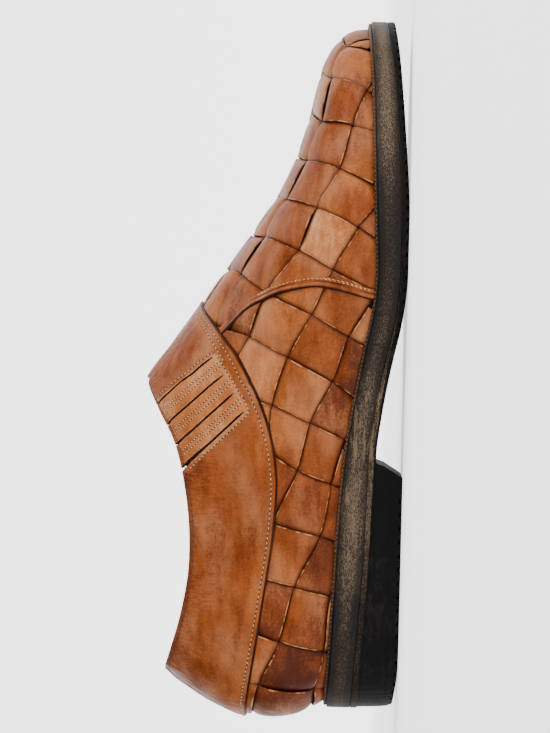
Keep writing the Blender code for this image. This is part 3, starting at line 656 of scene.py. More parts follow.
@dataclass(frozen=True)
class CrossLine:
    """A line between two cross strips, as the side view shows it.

    Attributes:
        first: Number of the first lengthwise line that it crosses below the collar.
        crossings: Where it crosses that line and the next ones down.
        foot: Where it meets the feather line, along the shoe.
        crest: Where it passes the crest, along the shoe.
    """

    first: int
    crossings: list[Place]
    foot: float | None = None
    crest: float | None = None


CROSS_LINES = [
    CrossLine(1, places(287.5, 28.1), 285.3, 292.6),
    CrossLine(1, places(272.4, 34.5, 266.3, 19.0), None, 272.6),
    CrossLine(1, places(253.1, 38.2, 250.7, 24.9), 248.4, 255.7),
    CrossLine(1, places(236.5, 44.2, 232.3, 29.8), 225.1, 239.2),
    CrossLine(1, places(219.9, 52.4, 215.5, 39.0, 207.3, 21.3), 202.5, 221.8),
    CrossLine(1, places(203.6, 61.5, 197.6, 46.4, 189.5, 31.6), 180.8, 205.5),
    CrossLine(1, places(187.8, 71.4, 179.7, 59.5, 170.5, 40.1, 161.5, 24.2), 157.9, 190.1),
    CrossLine(2, places(160.8, 66.6, 152.3, 50.0, 142.6, 30.9), 136.1, 173.3),
    CrossLine(3, places(131.9, 56.2, 124.7, 39.7, 117.8, 24.7), None, 157.5),
    CrossLine(4, places(104.4, 44.8, 98.9, 30.3), None, 144.6),
    CrossLine(4, places(82.0, 54.7, 76.7, 34.4)),
    CrossLine(5, places(54.8, 44.8, 51.1, 29.3)),
    CrossLine(5, places(31.2, 51.0, 27.2, 31.6)),
    CrossLine(5, places(12.0, 59.4, 10.4, 35.5)),
]
# The line in front of the toe, by turn and climb, and the heights of the crossings at the back.
FRONT_LINE = ((0.0, -0.15), (0.02, -0.20), (0.045, -0.25), (0.09, -0.40), (0.14, -0.55))
BACK_CROSSINGS = (62.4, 36.9)


class WeaveChart:
    """Where the strips of the weave run over the last.

    A place in the weave is (u, v). u counts the cross lines from the toe to the back of the heel,
    and v the lengthwise lines from the crest down the outer side. The crest is at -0.5, and the
    inner side repeats the outer side beyond it.
    """

    STRIP = 21.0
    LAST_LINE = 7

    def __init__(self, last: Last, collar: CollarLine) -> None:
        self.last, self.collar = last, collar
        outer, inner = self._side_nodes(Side.OUTER), self._side_nodes(Side.INNER)
        outer = np.concatenate((outer, inner[-2:-1]))
        inner = np.concatenate((inner, outer[-3:-2]))
        outer_points = last.point(outer[..., 0], outer[..., 1])
        inner_points = last.point(inner[..., 0], inner[..., 1])
        crest = (outer_points[:, :1] + inner_points[:, :1]) / 2
        self.points = np.concatenate((inner_points[:, :0:-1], crest, outer_points[:, 1:]), axis=1)
        lines = np.arange(self.LAST_LINE + 1, dtype=float)
        self.across_knots = np.concatenate((-1 - lines[::-1], [-0.5], lines))
        self.along_knots = np.arange(len(self.points), dtype=float) - 1
        self.by_u = slopes_at(self.along_knots, self.points)
        swapped = slopes_at(self.across_knots, self.points.swapaxes(0, 1))
        self.by_v = swapped.swapaxes(0, 1)
        self.by_uv = slopes_at(self.across_knots, self.by_u.swapaxes(0, 1)).swapaxes(0, 1)

    def _side_nodes(self, side: Side) -> Array:
        """The (turn, climb) of every crossing on a side: the crest first, then each line."""
        rows = [self._front_row(side)]
        rows += [self._row(line, side) for line in CROSS_LINES]
        climbs = np.linspace(0, 1, self.last.ROWS)
        heights = self.last.point(np.ones(self.last.ROWS), climbs)[:, 2]
        back = [np.array((1.0, np.interp(up, heights, climbs))) for up in BACK_CROSSINGS]
        rows.append(self._spread(5, back, None))
        return np.array(rows)

    def _front_row(self, side: Side) -> Array:
        """The row in front of the toe."""
        row = [np.array(spot) for spot in FRONT_LINE]
        while len(row) < self.LAST_LINE + 2:
            row.append(row[-1] * 2 - row[-2])
        row = np.array(row)
        if side is Side.INNER:
            row[:, 0] = 2 - row[:, 0]
        return row

    def _row(self, line: CrossLine, side: Side) -> Array:
        """The crossings of one cross line."""
        spots = list(self.last.line_beside(line.crossings, side))
        if line.foot is not None:
            half = self.last.COLUMNS // 2
            turns = np.linspace(0, 1, half + 1)
            folded = turns if side is Side.OUTER else 2 - turns
            feather = self.last.point(folded, np.zeros(half + 1))
            turn = np.interp(-line.foot, -feather[:, 0], turns)
            foot = np.array((turn if side is Side.OUTER else 2 - turn, 0.0))
            away = np.linalg.norm(self.last.point(*foot) - self.last.point(*spots[-1]))
            spots.append(spots[-1] + (foot - spots[-1]) * self.STRIP / away)
        crest = None
        if line.crest is not None:
            crest = self.last.centre(line.crest)
            if side is Side.INNER:
                crest = np.array((2 - crest[0], crest[1]))
        return self._spread(line.first, spots, crest)

    def _spread(self, first: int, spots: list[Array], crest: Array | None) -> Array:
        """Fill a row up from the crossings that are known.

        Args:
            first: Number of the first known lengthwise line.
            spots: The known crossings.
            crest: Where the row passes the crest, if it does.

        Returns:
            The crest and every lengthwise line, as (turn, climb).
        """
        spots = list(spots)
        if len(spots) == 1 and crest is not None:
            spots.append(spots[0] + (spots[0] - crest) * 0.7)
        while first + len(spots) < self.LAST_LINE + 1:
            spots.append(spots[-1] * 2 - spots[-2])
        above = []
        for line in [-0.5, *range(first)]:
            if crest is not None:
                share = (line + 0.5) / (first + 0.5)
                above.append(crest + (spots[0] - crest) * share)
            else:
                above.append(spots[0] + (spots[1] - spots[0]) * (line - first))
        return np.array(above + spots)[: self.LAST_LINE + 2]

    def point(self, u: Array, v: Array) -> Array:
        """The point of the weave's own smooth sheet at (u, v)."""
        u, v = np.broadcast_arrays(np.asarray(u, float), np.asarray(v, float))
        row = np.searchsorted(self.along_knots, u, side="right") - 1
        row = np.clip(row, 0, len(self.points) - 2)
        column = np.searchsorted(self.across_knots, v, side="right") - 1
        column = np.clip(column, 0, len(self.across_knots) - 2)
        dv = self.across_knots[column + 1] - self.across_knots[column]
        s, t = u - self.along_knots[row], (v - self.across_knots[column]) / dv
        total = np.zeros(u.shape + (3,))
        for over, (value_u, slope_u) in enumerate(self._weights(s)):
            for down, (value_v, slope_v) in enumerate(self._weights(t)):
                at = (row + over, column + down)
                total += self.points[at] * (value_u * value_v)[..., None]
                total += self.by_u[at] * (slope_u * value_v)[..., None]
                total += self.by_v[at] * (value_u * slope_v * dv)[..., None]
                total += self.by_uv[at] * (slope_u * slope_v * dv)[..., None]
        return total

    @staticmethod
    def _weights(t: Array) -> list[tuple[Array, Array]]:
        """Weights of the value and of the slope at the two ends of a cubic piece."""
        near = ((1 + 2 * t) * (1 - t) ** 2, t * (1 - t) ** 2)
        far = (t * t * (3 - 2 * t), t * t * (t - 1))
        return [near, far]

    def spot(self, u: Array, v: Array) -> tuple[Array, Array]:
        """The (turn, climb) on the last of a place in the weave."""
        points = self.point(u, v)
        turn, climb = self.last.settle(points.reshape(-1, 3))
        return turn.reshape(points.shape[:-1]), climb.reshape(points.shape[:-1])


class StripKind(Enum):
    """The two sets of strips."""

    CROSS = "woven_cross_strips"
    LENGTH = "woven_length_strips"


@dataclass
class Weave:
    """The woven wall of the upper.

    Attributes:
        chart: Where the strips run.
        rings: Rings of a strip in each cell of the weave.
        below: How far the strips reach down past the feather line.
        under_collar: How far they reach up under the collar.
        width: Share of its cell that a strip fills where it lies under.
        swell: What is added to that where it lies over.
        crown: How much the middle of a strip stands proud of its edges.
    """

    chart: WeaveChart
    rings: int = 20
    below: float = 1.0
    under_collar: float = 6.0
    width: float = 0.958
    swell: float = 0.032
    crown: float = 0.22
    # Cells with a tone of their own on the outer side: by lengthwise strip, and by cross strip.
    # The palest tones, such as 0.82, are partly a painted highlight.
    tones: dict[int, dict[int, float]] = field(
        default_factory=lambda: {
            1: {0: 0.46, 1: 0.42, 2: 0.42, 3: 0.42, 4: 0.42, 5: 0.42, 6: 0.36},
            2: {2: 0.42, 3: 0.54, 4: 0.82, 5: 0.55, 6: 0.56, 7: 0.74},
            3: {4: 0.46, 5: 0.46, 6: 0.36, 7: 0.60, 8: 0.50},
            4: {6: 0.12, 7: 0.20, 8: 0.30, 9: 0.40, 10: 0.42, 11: 0.18},
            5: {10: 0.20, 11: 0.32, 12: 0.04, 13: 0.25},
        }
    )

    LINES = 13  # lines along a strip whose ends are looked for
    FINE_LINES = 161  # lines across its width at which it is trimmed
    LOOKS = 24  # looks along such a line in each cell
    SQUARENESS = 3.8  # how squarely a strip rises over the one below

    # Corners of a strip's section: its place across, from -1 to 1, and its depth in millimetres.
    SECTION = (
        (-0.93, 0.0), (-0.78, 0.0), (-0.50, 0.0), (-0.18, 0.0), (0.18, 0.0), (0.50, 0.0),
        (0.78, 0.0), (0.93, 0.0), (0.968, 0.05), (0.992, 0.20), (1.0, 0.46), (0.985, 0.78),
        (0.90, 0.90), (0.35, 0.90), (-0.35, 0.90), (-0.90, 0.90), (-0.985, 0.78), (-1.0, 0.46),
        (-0.992, 0.20), (-0.968, 0.05), (-0.93, 0.0),
    )

    def build(self) -> list[Piece]:
        """Lay all the strips.

        Returns:
            The cross strips and the lengthwise strips.
        """
        last_cross = len(CROSS_LINES)
        cross = []
        for strip in range(-1, last_cross):
            # Where the collar parts the weave, each side has its own cross strips.
            for span in [(-7.0, 6.0)] if strip <= 6 else [(-0.5, 6.9), (-0.5, -7.9)]:
                cross.append(self._strip(StripKind.CROSS, strip, span))
        whole = (-1.0, float(last_cross))
        length = [self._strip(StripKind.LENGTH, strip, whole) for strip in range(-8, 7)]
        made = []
        for kind, strips in ((StripKind.CROSS, cross), (StripKind.LENGTH, length)):
            made.append(close_up(join(kind.value, [strip for strip in strips if strip]), angle=60))
        return made

    def _cell(self, kind: StripKind, along: Array, across: Array) -> tuple[Array, Array]:
        """Turn a place on a strip into (u, v)."""
        return (across, along) if kind is StripKind.CROSS else (along, across)

    def _ends(
        self, kind: StripKind, line: float, span: tuple[float, float]
    ) -> tuple[float, float] | None:
        """Find the stretch of a line in the weave that can be seen, with a little more at its ends.

        Args:
            kind: Which set the line runs with.
            line: The line's own place across the strips.
            span: Where to look, from one end to the other.

        Returns:
            Both ends, or nothing where none of it shows.
        """
        count = int(abs(span[1] - span[0]) * self.LOOKS) + 1
        places = np.linspace(span[0], span[1], count)
        turn, climb = self.chart.spot(*self._cell(kind, places, np.full_like(places, line)))
        low = climb * self.chart.last.girth_at(turn) + self.below
        high = self.under_collar - self.chart.collar.above(turn, climb)
        inside = np.minimum(low, high)
        if kind is StripKind.CROSS and span[0] == -7.0:
            inside = low
        shown = np.flatnonzero(inside > 0)
        if len(shown) < 8:
            return None
        runs = np.split(shown, np.flatnonzero(np.diff(shown) > 1) + 1)
        run = max(runs, key=len)
        ends = []
        for at, beyond in ((run[0], run[0] - 1), (run[-1], run[-1] + 1)):
            end = places[at]
            if 0 <= beyond < len(places):
                share = inside[at] / (inside[at] - inside[beyond])
                end += (places[beyond] - places[at]) * share
            ends.append(float(end))
        return ends[0], ends[1]

    def _trim(
        self, kind: StripKind, strip: int, span: tuple[float, float]
    ) -> tuple[Array, Array] | None:
        """Find the part of a strip that shows.

        Args:
            kind: Which set it belongs to.
            strip: Which strip of the set it is.
            span: Where it can run, from one end to the other.

        Returns:
            For each corner of each ring, its place along the strip and its share of the width,
            or nothing where none of it shows.
        """
        lines = np.linspace(0.02, 0.98, self.LINES)
        ends = [self._ends(kind, strip + float(line), span) for line in lines]
        known = [at for at, end in enumerate(ends) if end is not None]
        if len(known) < 3:
            return None
        low_share = lines[known[0]] if known[0] > 0 else 0.0
        high_share = lines[known[-1]] if known[-1] < len(lines) - 1 else 1.0
        start = np.array([ends[at][0] for at in known])
        stop = np.array([ends[at][1] for at in known])
        near, far = (start.min(), stop.max()) if stop[0] > start[0] else (start.max(), stop.min())
        rings = max(int(abs(far - near) * self.rings), 12) + 1
        ring = np.linspace(near, far, rings)[:, None]
        fine = np.linspace(low_share, high_share, self.FINE_LINES)
        first, final = np.interp(fine, lines[known], start), np.interp(fine, lines[known], stop)
        low, high = np.minimum(first, final), np.maximum(first, final)
        shown = (ring >= low - 1e-6) & (ring <= high + 1e-6)
        # Where only part of a strip's width shows, the strip is trimmed to that part.
        lowest = np.where(shown, fine, 2.0).min(axis=1)[:, None]
        highest = np.where(shown, fine, -2.0).max(axis=1)[:, None]
        wide = (highest - lowest)[:, 0] > 0.15 * (high_share - low_share)
        ring, lowest, highest = ring[wide], lowest[wide], highest[wide]
        for order in (range(1, len(ring)), range(len(ring) - 2, -1, -1)):
            for at in order:
                before = at - order.step
                lowest[at] = max(lowest[at], lowest[before] - 0.2)
                highest[at] = min(highest[at], highest[before] + 0.2)
        share = np.clip((np.array(self.SECTION)[:, 0] + 1) / 2, lowest, highest)
        return np.broadcast_to(ring, share.shape), share

    def _strip(self, kind: StripKind, strip: int, span: tuple[float, float]) -> Piece | None:
        """Lay one strip.

        Args:
            kind: Which set it belongs to.
            strip: Which strip of the set it is.
            span: Where it can run, from one end to the other.

        Returns:
            The strip, or nothing where none of it shows.
        """
        trimmed = self._trim(kind, strip, span)
        if trimmed is None:
            return None
        along, share = trimmed
        depth = np.array(self.SECTION)[:, 1]
        cell = np.floor(along)
        over = (cell.astype(int) + strip) % 2 == 0
        if kind is StripKind.LENGTH:
            over = ~over
        reach = np.abs(2 * (along - cell) - 1)
        rise = 1 - reach**self.SQUARENESS
        level = np.where(over, STRIP_MIDDLE + (STRIP_OVER - STRIP_MIDDLE) * rise, 0)
        level = np.where(over, level, STRIP_MIDDLE + (STRIP_UNDER - STRIP_MIDDLE) * rise)
        ease_over = np.where(over, 1, -1) * rise * 0.5 + 0.5
        fill = self.width + self.swell * ease_over
        y = share * 2 - 1
        wander = 0.012 * np.sin(along * 2.1 + strip * 1.7) + 0.008 * np.sin(along * 5.3 + strip)
        across = strip + 0.5 + 0.5 * (y * fill + wander)
        u, v = self._cell(kind, along, across)
        turn, climb = self.chart.spot(u, v)
        draw = np.vectorize(lambda at, seed: chance(kind is StripKind.CROSS, at, strip, seed))
        lift, tilt = draw(cell, 3), draw(cell, 5) - 0.5
        out = level + self.crown * (1 - y**2) * (0.35 + 0.65 * ease_over)
        out += (0.16 * lift + 0.22 * tilt * y) * rise * over
        toe = ease(276.0, 296.0, self.chart.last.point(turn, climb)[..., 0])
        out -= toe * (0.45 * (out - STRIP_UNDER) + 0.4)
        out -= depth
        points = self.chart.last.point(turn, climb, out)
        marks = {
            "tone": self._tone(kind, strip, along),
            "across": y,
            # Painted shade: the woven leather darkens with this depth, where a strip dives under.
            "depth": np.clip((STRIP_OVER - level) / (STRIP_OVER - STRIP_UNDER), 0, 1),
            # Painted shade: the woven leather paints a strip's underside near black.
            "under": np.broadcast_to(ease(0.1, 0.6, depth), y.shape),
        }
        return lay_grid(f"{kind.value}_{strip}", points, marks)

    def _tone(self, kind: StripKind, strip: int, along: Array) -> Array:
        """The tone of each cell, carried on to the middle of the cells where the strip is under."""
        parity = strip if kind is StripKind.CROSS else strip + 1
        nearest = 2 * np.round((along - 0.5 - parity) / 2) + parity

        def tone(cell: float) -> float:
            """The tone of one cell."""
            cross, length = (strip, int(cell)) if kind is StripKind.CROSS else (int(cell), strip)
            return self.tones.get(length, {}).get(cross, 0.32 + 0.28 * chance(cross, length, 11))

        return np.vectorize(tone)(nearest)


@dataclass(frozen=True)
class Crease:
    """A soft trough or ridge that wear has left in the leather.

    Attributes:
        start: Where it begins, as the side view shows it.
        end: Where it fades out.
        rise: Its height in millimetres, below nothing for a trough.
        width: Its width in millimetres.
        bow: How far its middle lies off the straight line between its ends.
    """

    start: Place
    end: Place
    rise: float
    width: float
    bow: float = 0.0

    def line(self) -> Array:
        """Points along it, in the side view."""
        start, end = np.array(self.start), np.array(self.end)
        share = np.linspace(0, 1, 9)[:, None]
        square = np.array((start[1] - end[1], end[0] - start[0]))
        square = square / max(float(np.linalg.norm(square)), 1e-6)
        return start + (end - start) * share + square * self.bow * 4 * share * (1 - share)

    def relief(self, along: Array, up: Array) -> Array:
        """Its height at places of the side view."""
        distance, share = beside_line(along, up, self.line())
        fade = ease(0.0, 0.22, share) * ease(1.0, 0.72, share)
        return self.rise * fade * np.exp(-((distance / self.width) ** 2))


def beside_line(along: Array, up: Array, line: Array) -> tuple[Array, Array]:
    """How places of the side view lie to a line.

    Args:
        along: Places along the shoe.
        up: Their heights.
        line: Points of the line, each along and up.

    Returns:
        The distance of each place from the line, and the share of the line where it is nearest.
    """
    best = np.full(np.shape(along), 1e9)
    share = np.zeros(np.shape(along))
    reached = lengths_along(line)
    for at, (start, end) in enumerate(zip(line, line[1:])):
        way = end - start
        length = float(np.linalg.norm(way))
        t = ((along - start[0]) * way[0] + (up - start[1]) * way[1]) / length**2
        t = np.clip(t, 0, 1)
        distance = np.hypot(along - start[0] - way[0] * t, up - start[1] - way[1] * t)
        nearer = distance < best
        best = np.where(nearer, distance, best)
        share = np.where(nearer, (reached[at] + t * length) / reached[-1], share)
    return best, share


def between(start: Place, end: Place, share: float) -> Place:
    """The place a share of the way from start to end."""
    return Place(*(np.array(start) + (np.array(end) - start) * share))


def shifted(place: Place, along: float, up: float) -> Place:
    """A place moved by some millimetres."""
    return Place(place.along + along, place.up + up)


def slit_lines() -> list[tuple[Place, Place]]:
    """The four slits beside the three straps, each from the topline down to its end."""
    lines = []
    for number in range(STRAPS_A_SIDE + 1):
        share = number / STRAPS_A_SIDE
        top = between(FIRST_SLIT[0], LAST_SLIT[0], share)
        lines.append((top, between(FIRST_SLIT[1], LAST_SLIT[1], share)))
    return lines


def window_line() -> list[Place]:
    """The stitched outline round the straps, from the topline down, round and up again."""
    (front_top, front_foot), *_, (back_top, back_foot) = slit_lines()
    down = unit(np.array(front_foot) - front_top)
    ahead = np.array((-down[1], down[0]))
    # Each corner's place by a slit's end: how far ahead of it and how far down from it.
    corners = (
        (front_top, 1.9, 0.5), (front_foot, 1.6, 0.2), (front_foot, 0.6, 2.2),
        (back_foot, -0.2, 2.6), (back_foot, -2.0, 0.8), (back_top, -2.4, 0.8),
    )
    return [Place(*(end + ahead * front + down * low)) for end, front, low in corners]


@dataclass
class Collar:
    """The smooth collar: its outer leaf, its rolled topline, its facing inside and its gores.

    Attributes:
        line: The lower edge that it starts from.
        columns: Corners round its ring.
        rows: Corners from its lower edge to the topline.
        roll: How far the rolled topline stands above the last.
        slit: Width of the slits between the straps.
        back_slit: Width of the slit behind the last strap.
        seam: Half the width of the seam down the back.
        creases: Soft folds of the leather.
    """

    line: CollarLine
    columns: int = 640
    rows: int = 58
    roll: float = 0.9
    slit: float = 0.88
    back_slit: float = 1.25
    seam: float = 1.5
    creases: tuple[Crease, ...] = (
        Crease(Place(149.0, 97.0), Place(141.0, 88.0), -0.35, 1.8, 1.5),
        Crease(Place(153.0, 94.0), Place(146.0, 84.5), 0.22, 1.7, 1.2),
        Crease(Place(158.0, 90.0), Place(150.5, 82.5), -0.28, 1.6, 0.8),
        Crease(Place(128.0, 65.5), Place(117.0, 60.0), 0.25, 2.0, -0.6),
        Crease(Place(118.0, 74.0), Place(96.0, 58.0), -0.30, 3.0, -2.0),
        Crease(Place(103.0, 80.0), Place(84.0, 60.0), 0.25, 3.6, 1.4),
        Crease(Place(70.0, 84.0), Place(58.0, 62.0), -0.22, 4.2, 1.5),
        Crease(Place(52.0, 86.0), Place(40.0, 66.0), 0.16, 4.0, -1.0),
        Crease(Place(26.0, 88.0), Place(18.0, 66.0), -0.22, 3.6, -1.2),
        Crease(Place(14.0, 82.0), Place(11.0, 66.0), 0.20, 2.6, 0.6),
    )

    # Distances of the facing's rings from the topline, and how far the marks of the hem and
    # of the lip are counted.
    FACING = (0.8, 2.2, 4.5, 7.0, 9.5, 12.0, 13.0)
    HEM_REACH = 9.0
    LIP_REACH = 24.0
    # How far up from its end a slit is traced before it runs on straight over the topline.
    TRACED = 0.86

    def spot(self, share: Array, rise: Array) -> tuple[Array, Array]:
        """The (turn, climb) of a place on the ring.

        Args:
            share: How far round from the crest, 0 to 2.
            rise: How far up from the lower edge, 0 to 1.

        Returns:
            The turn and the climb.
        """
        edge = self.line.edge(share)
        top = self.line.top_turn(edge[..., 0])
        turn = edge[..., 0] + (top - edge[..., 0]) * rise
        return turn, edge[..., 1] + (1 - edge[..., 1]) * rise

    def heights(self, share: Array) -> Array:
        """The collar's height, along its surface, at places round it."""
        rise = np.linspace(0, 1, 15)[:, None]
        turn, climb = self.spot(share[None, :], rise)
        points = self.line.last.point(turn, climb)
        return np.linalg.norm(np.diff(points, axis=0), axis=2).sum(axis=0)

    def out(self, points: Array, from_edge: Array, from_top: Array, forward: Array) -> Array:
        """How far the outer leaf lies out from the last.

        Args:
            points: Places on the last.
            from_edge: Their distance from the lower edge.
            from_top: Their distance from the topline.
            forward: 1 where the lower edge has its second row of stitches, else 0.

        Returns:
            A distance for each place.
        """
        along, up = points[..., 0], points[..., 2]
        level = COLLAR_OUT + (COLLAR_TOP_OUT - COLLAR_OUT) * ease(7.0, 0.5, from_top)
        level -= 0.20 * np.exp(-(((from_edge - 2.5) / 0.6) ** 2))
        level -= 0.16 * forward * np.exp(-(((from_edge - 4.6) / 0.6) ** 2))
        level += 0.10 * np.exp(-(((from_edge - 1.2) / 0.8) ** 2))
        level -= 0.12 * np.exp(-(((from_top - 1.5) / 0.6) ** 2))
        level += 0.85 * self.back_seam(points)
        for top, low in slit_lines():
            line = np.array((top, low))
            line[0] += (line[0] - line[1]) * 0.2
            distance, _ = beside_line(along, up, line)
            level -= 0.30 * np.exp(-((distance / 0.9) ** 2))
            level += 0.10 * np.exp(-(((distance - 1.9) / 1.0) ** 2))
        distance, _ = beside_line(along, up, np.array(window_line()))
        level -= 0.18 * np.exp(-((distance / 0.6) ** 2))
        for crease in self.creases:
            level += crease.relief(along, up)
        quiet = ease(1.5, 8.0, from_edge)
        level += quiet * (0.16 * ripple(points, 34.0, 3) + 0.07 * ripple(points, 13.0, 5))
        return level

    @staticmethod
    def _calm(ways: Array, reach: int = 12) -> Array:
        """Even out directions round the ring, whose last one repeats its first."""
        weights = np.exp(-((np.arange(-reach, reach + 1) / (reach / 2)) ** 2))
        ring = ways[:-1]
        steps = zip(range(-reach, reach + 1), weights)
        total = sum(np.roll(ring, step, axis=0) * weight for step, weight in steps)
        return unit(np.concatenate((total, total[:1])))

    def back_seam(self, points: Array) -> Array:
        """How far places lie on the closing seam down the back of the heel, 0 to 1."""
        across = points[..., 1] - self.line.last.middle_line(points[..., 0])
        return np.exp(-((across / self.seam) ** 2)) * ease(40.0, 25.0, points[..., 0])

    def build(self) -> Piece:
        """Make the whole ring as one closed form and cut its slits."""
        last = self.line.last
        # Columns crowd round the throat, where the topline turns sharply.
        even = np.linspace(0, 2, self.columns + 1)
        share = even - 0.10 * np.sin(2 * math.pi * even) / (2 * math.pi)
        share[0], share[-1] = 0.0, 2.0
        height = self.heights(share)
        forward = ease(0.52, 0.46, np.where(share > 1, 2 - share, share))
        rise = np.linspace(0, 1, self.rows)
        rise = rise - 0.18 * np.sin(2 * math.pi * rise) / (2 * math.pi)
        turn, climb = self.spot(share[None, :], rise[:, None])
        base = last.point(turn, climb)
        crest = (share < 1e-6) | (share > 2 - 1e-6)
        base[:, crest, 1] = last.middle_line(base[:, crest, 0])
        normal = last.normal(turn, climb)
        from_edge, from_top = rise[:, None] * height, (1 - rise[:, None]) * height
        outer = base + normal * self.out(base, from_edge, from_top, forward[None, :])[..., None]
        up, out = self._calm(unit(base[-1] - base[-3])), self._calm(normal[-1])
        down = -unit(base[1] - base[0])
        edge = (
            (COLLAR_UNDER, 0.0), (COLLAR_UNDER + 0.15, 0.12),
            (COLLAR_OUT - 0.35, 0.16), (COLLAR_OUT - 0.08, 0.02),
        )
        hem = [base[0] + normal[0] * level + down * drop for level, drop in edge]
        middle, half = (COLLAR_TOP_OUT + INNER_LEAF_OUT) / 2, (COLLAR_TOP_OUT - INNER_LEAF_OUT) / 2
        turned = [
            base[-1] + up * self.roll * math.sin(angle) + out * (middle + half * math.cos(angle))
            for angle in np.radians((25, 50, 75, 100, 125, 150, 175))
        ]

        def leaf(distance: float, level: float, most: float = 0.8) -> Array:
            """A ring of corners at a distance down from the topline."""
            return last.point(*self.spot(share, 1 - np.minimum(distance / height, most)), level)

        inner = []
        for distance in self.FACING:
            sunk = 0.10 * math.exp(-(((distance - 2.6) / 0.9) ** 2))
            inner.append(leaf(distance, INNER_LEAF_OUT - 0.05 + sunk))
        back = INNER_LEAF_OUT + INNER_LEAF_THICK
        behind = [leaf(distance, back) for distance in (13.0, 9.0, 5.0, 2.4)]
        under = [leaf(distance, COLLAR_UNDER, 0.85) for distance in (2.2, 5.0, 10.0, 20.0)]
        grid = np.array([*hem, *outer[1:], *turned, *inner, *behind, *under, hem[0]])
        grid[:, -1] = grid[:, 0]
        first, roll = len(hem), len(hem) + self.rows - 1
        empty = {"hem": self.HEM_REACH, "lip": 9.0, "inside": 0.0, "seam": 0.0}
        marks = {name: np.full(grid.shape[:2], value) for name, value in empty.items()}
        marks["hem"][:first] = marks["hem"][-1] = 0.0
        marks["hem"][first:roll] = np.minimum(from_edge[1:], self.HEM_REACH)
        marks["lip"][first:roll] = np.minimum(from_top[1:], self.LIP_REACH)
        marks["lip"][roll : roll + len(turned) + 1] = 0.0
        marks["inside"][roll + 5 : -1] = 1.0
        # The seam mark is painted near black in the collar leather, partly as painted shade on the
        # heel's back rim.
        marks["seam"][:roll] = self.back_seam(np.array([*hem, *base[1:]]))
        collar = close_up(lay_grid("collar_with_straps", grid, marks), angle=50, fill=False)
        self._cut_slits(collar)
        return collar

    def _cut_slits(self, collar: Piece) -> None:
        """Cut the slits beside the straps through the outer leaf."""
        last = self.line.last
        fences = []
        for side in Side:
            for number, (top, low) in enumerate(slit_lines()):
                parts = np.linspace(0.0, self.TRACED, 20)
                spots = last.line_beside([between(low, top, part) for part in parts], side)
                steps = np.arange(1, 9)
                beyond = spots[-1] + (spots[-1] - spots[-3]) / 2 * steps[:, None]
                turn, climb = np.vstack((spots, beyond)).T
                share = np.concatenate((parts, self.TRACED + 0.0453 * steps))
                middle = last.point(turn, climb)
                normal = last.normal(turn, climb)
                way = unit(np.gradient(middle, axis=0))
                square = np.cross(way, normal)
                wider = self.back_slit - self.slit if number == STRAPS_A_SIDE else 0.0
                width = self.slit / 2 + wider * ease(0.45, 1.0, share)
                width *= ease(-0.06, 0.10, share)
                corners = []
                inner = 0.2 - 2.8 * ease(0.965, 0.985, climb)
                for across, high in ((-1, 0), (1, 0), (1, 1), (-1, 1), (-1, 0)):
                    out = inner + (5.0 - inner) * high
                    beside = square * (width * across)[:, None]
                    corners.append(middle + beside + normal * out[:, None])
                fence = lay_grid(f"slit_form_{side.value}_{number}", np.array(corners))
                fences.append(close_up(fence))
        form = join("slit_forms", fences)
        select_only(collar)
        cut = collar.modifiers.new("slits", "BOOLEAN")
        cut.operation = "DIFFERENCE"
        cut.solver = "EXACT"
        cut.object = form
        bpy.ops.object.modifier_apply(modifier=cut.name)
        bpy.data.objects.remove(form)
        select_only(collar)
        bpy.ops.object.shade_smooth_by_angle(angle=math.radians(35))


@dataclass
class GoreElastic:
    """The elastic behind the straps, one piece on each side."""

    last: Last
    out: float = -0.15
    thick: float = 0.6
    rows: int = 30
    columns: int = 46

    def build(self, side: Side) -> Piece:
        """Make one side's elastic."""
        (front_top, front_foot), *_, (back_top, back_foot) = slit_lines()
        corners = (
            between(front_foot, front_top, 0.95),
            between(back_foot, back_top, 0.92),
            shifted(front_foot, 3.0, -2.0),
            shifted(back_foot, -1.0, -3.0),
        )
        top, top_end, low, low_end = (self.last.beside(corner, side) for corner in corners)
        across = np.linspace(-0.08, 1.08, self.columns)[None, :, None]
        top, low = top + (top_end - top) * across, low + (low_end - low) * across
        grid = top + (low - top) * np.linspace(-0.02, 1, self.rows)[:, None, None]
        ribs = 0.10 * np.cos(np.linspace(0, 44 * math.pi, self.columns))
        points = self.last.point(grid[..., 0], grid[..., 1], self.out + ribs)
        piece = lay_grid(f"gore_elastic_{side.value}", points)
        select_only(piece)
        wall = piece.modifiers.new("thickness", "SOLIDIFY")
        wall.thickness = self.thick * MM
        wall.offset = 0
        bpy.ops.object.modifier_apply(modifier=wall.name)
        return close_up(piece, fill=False)


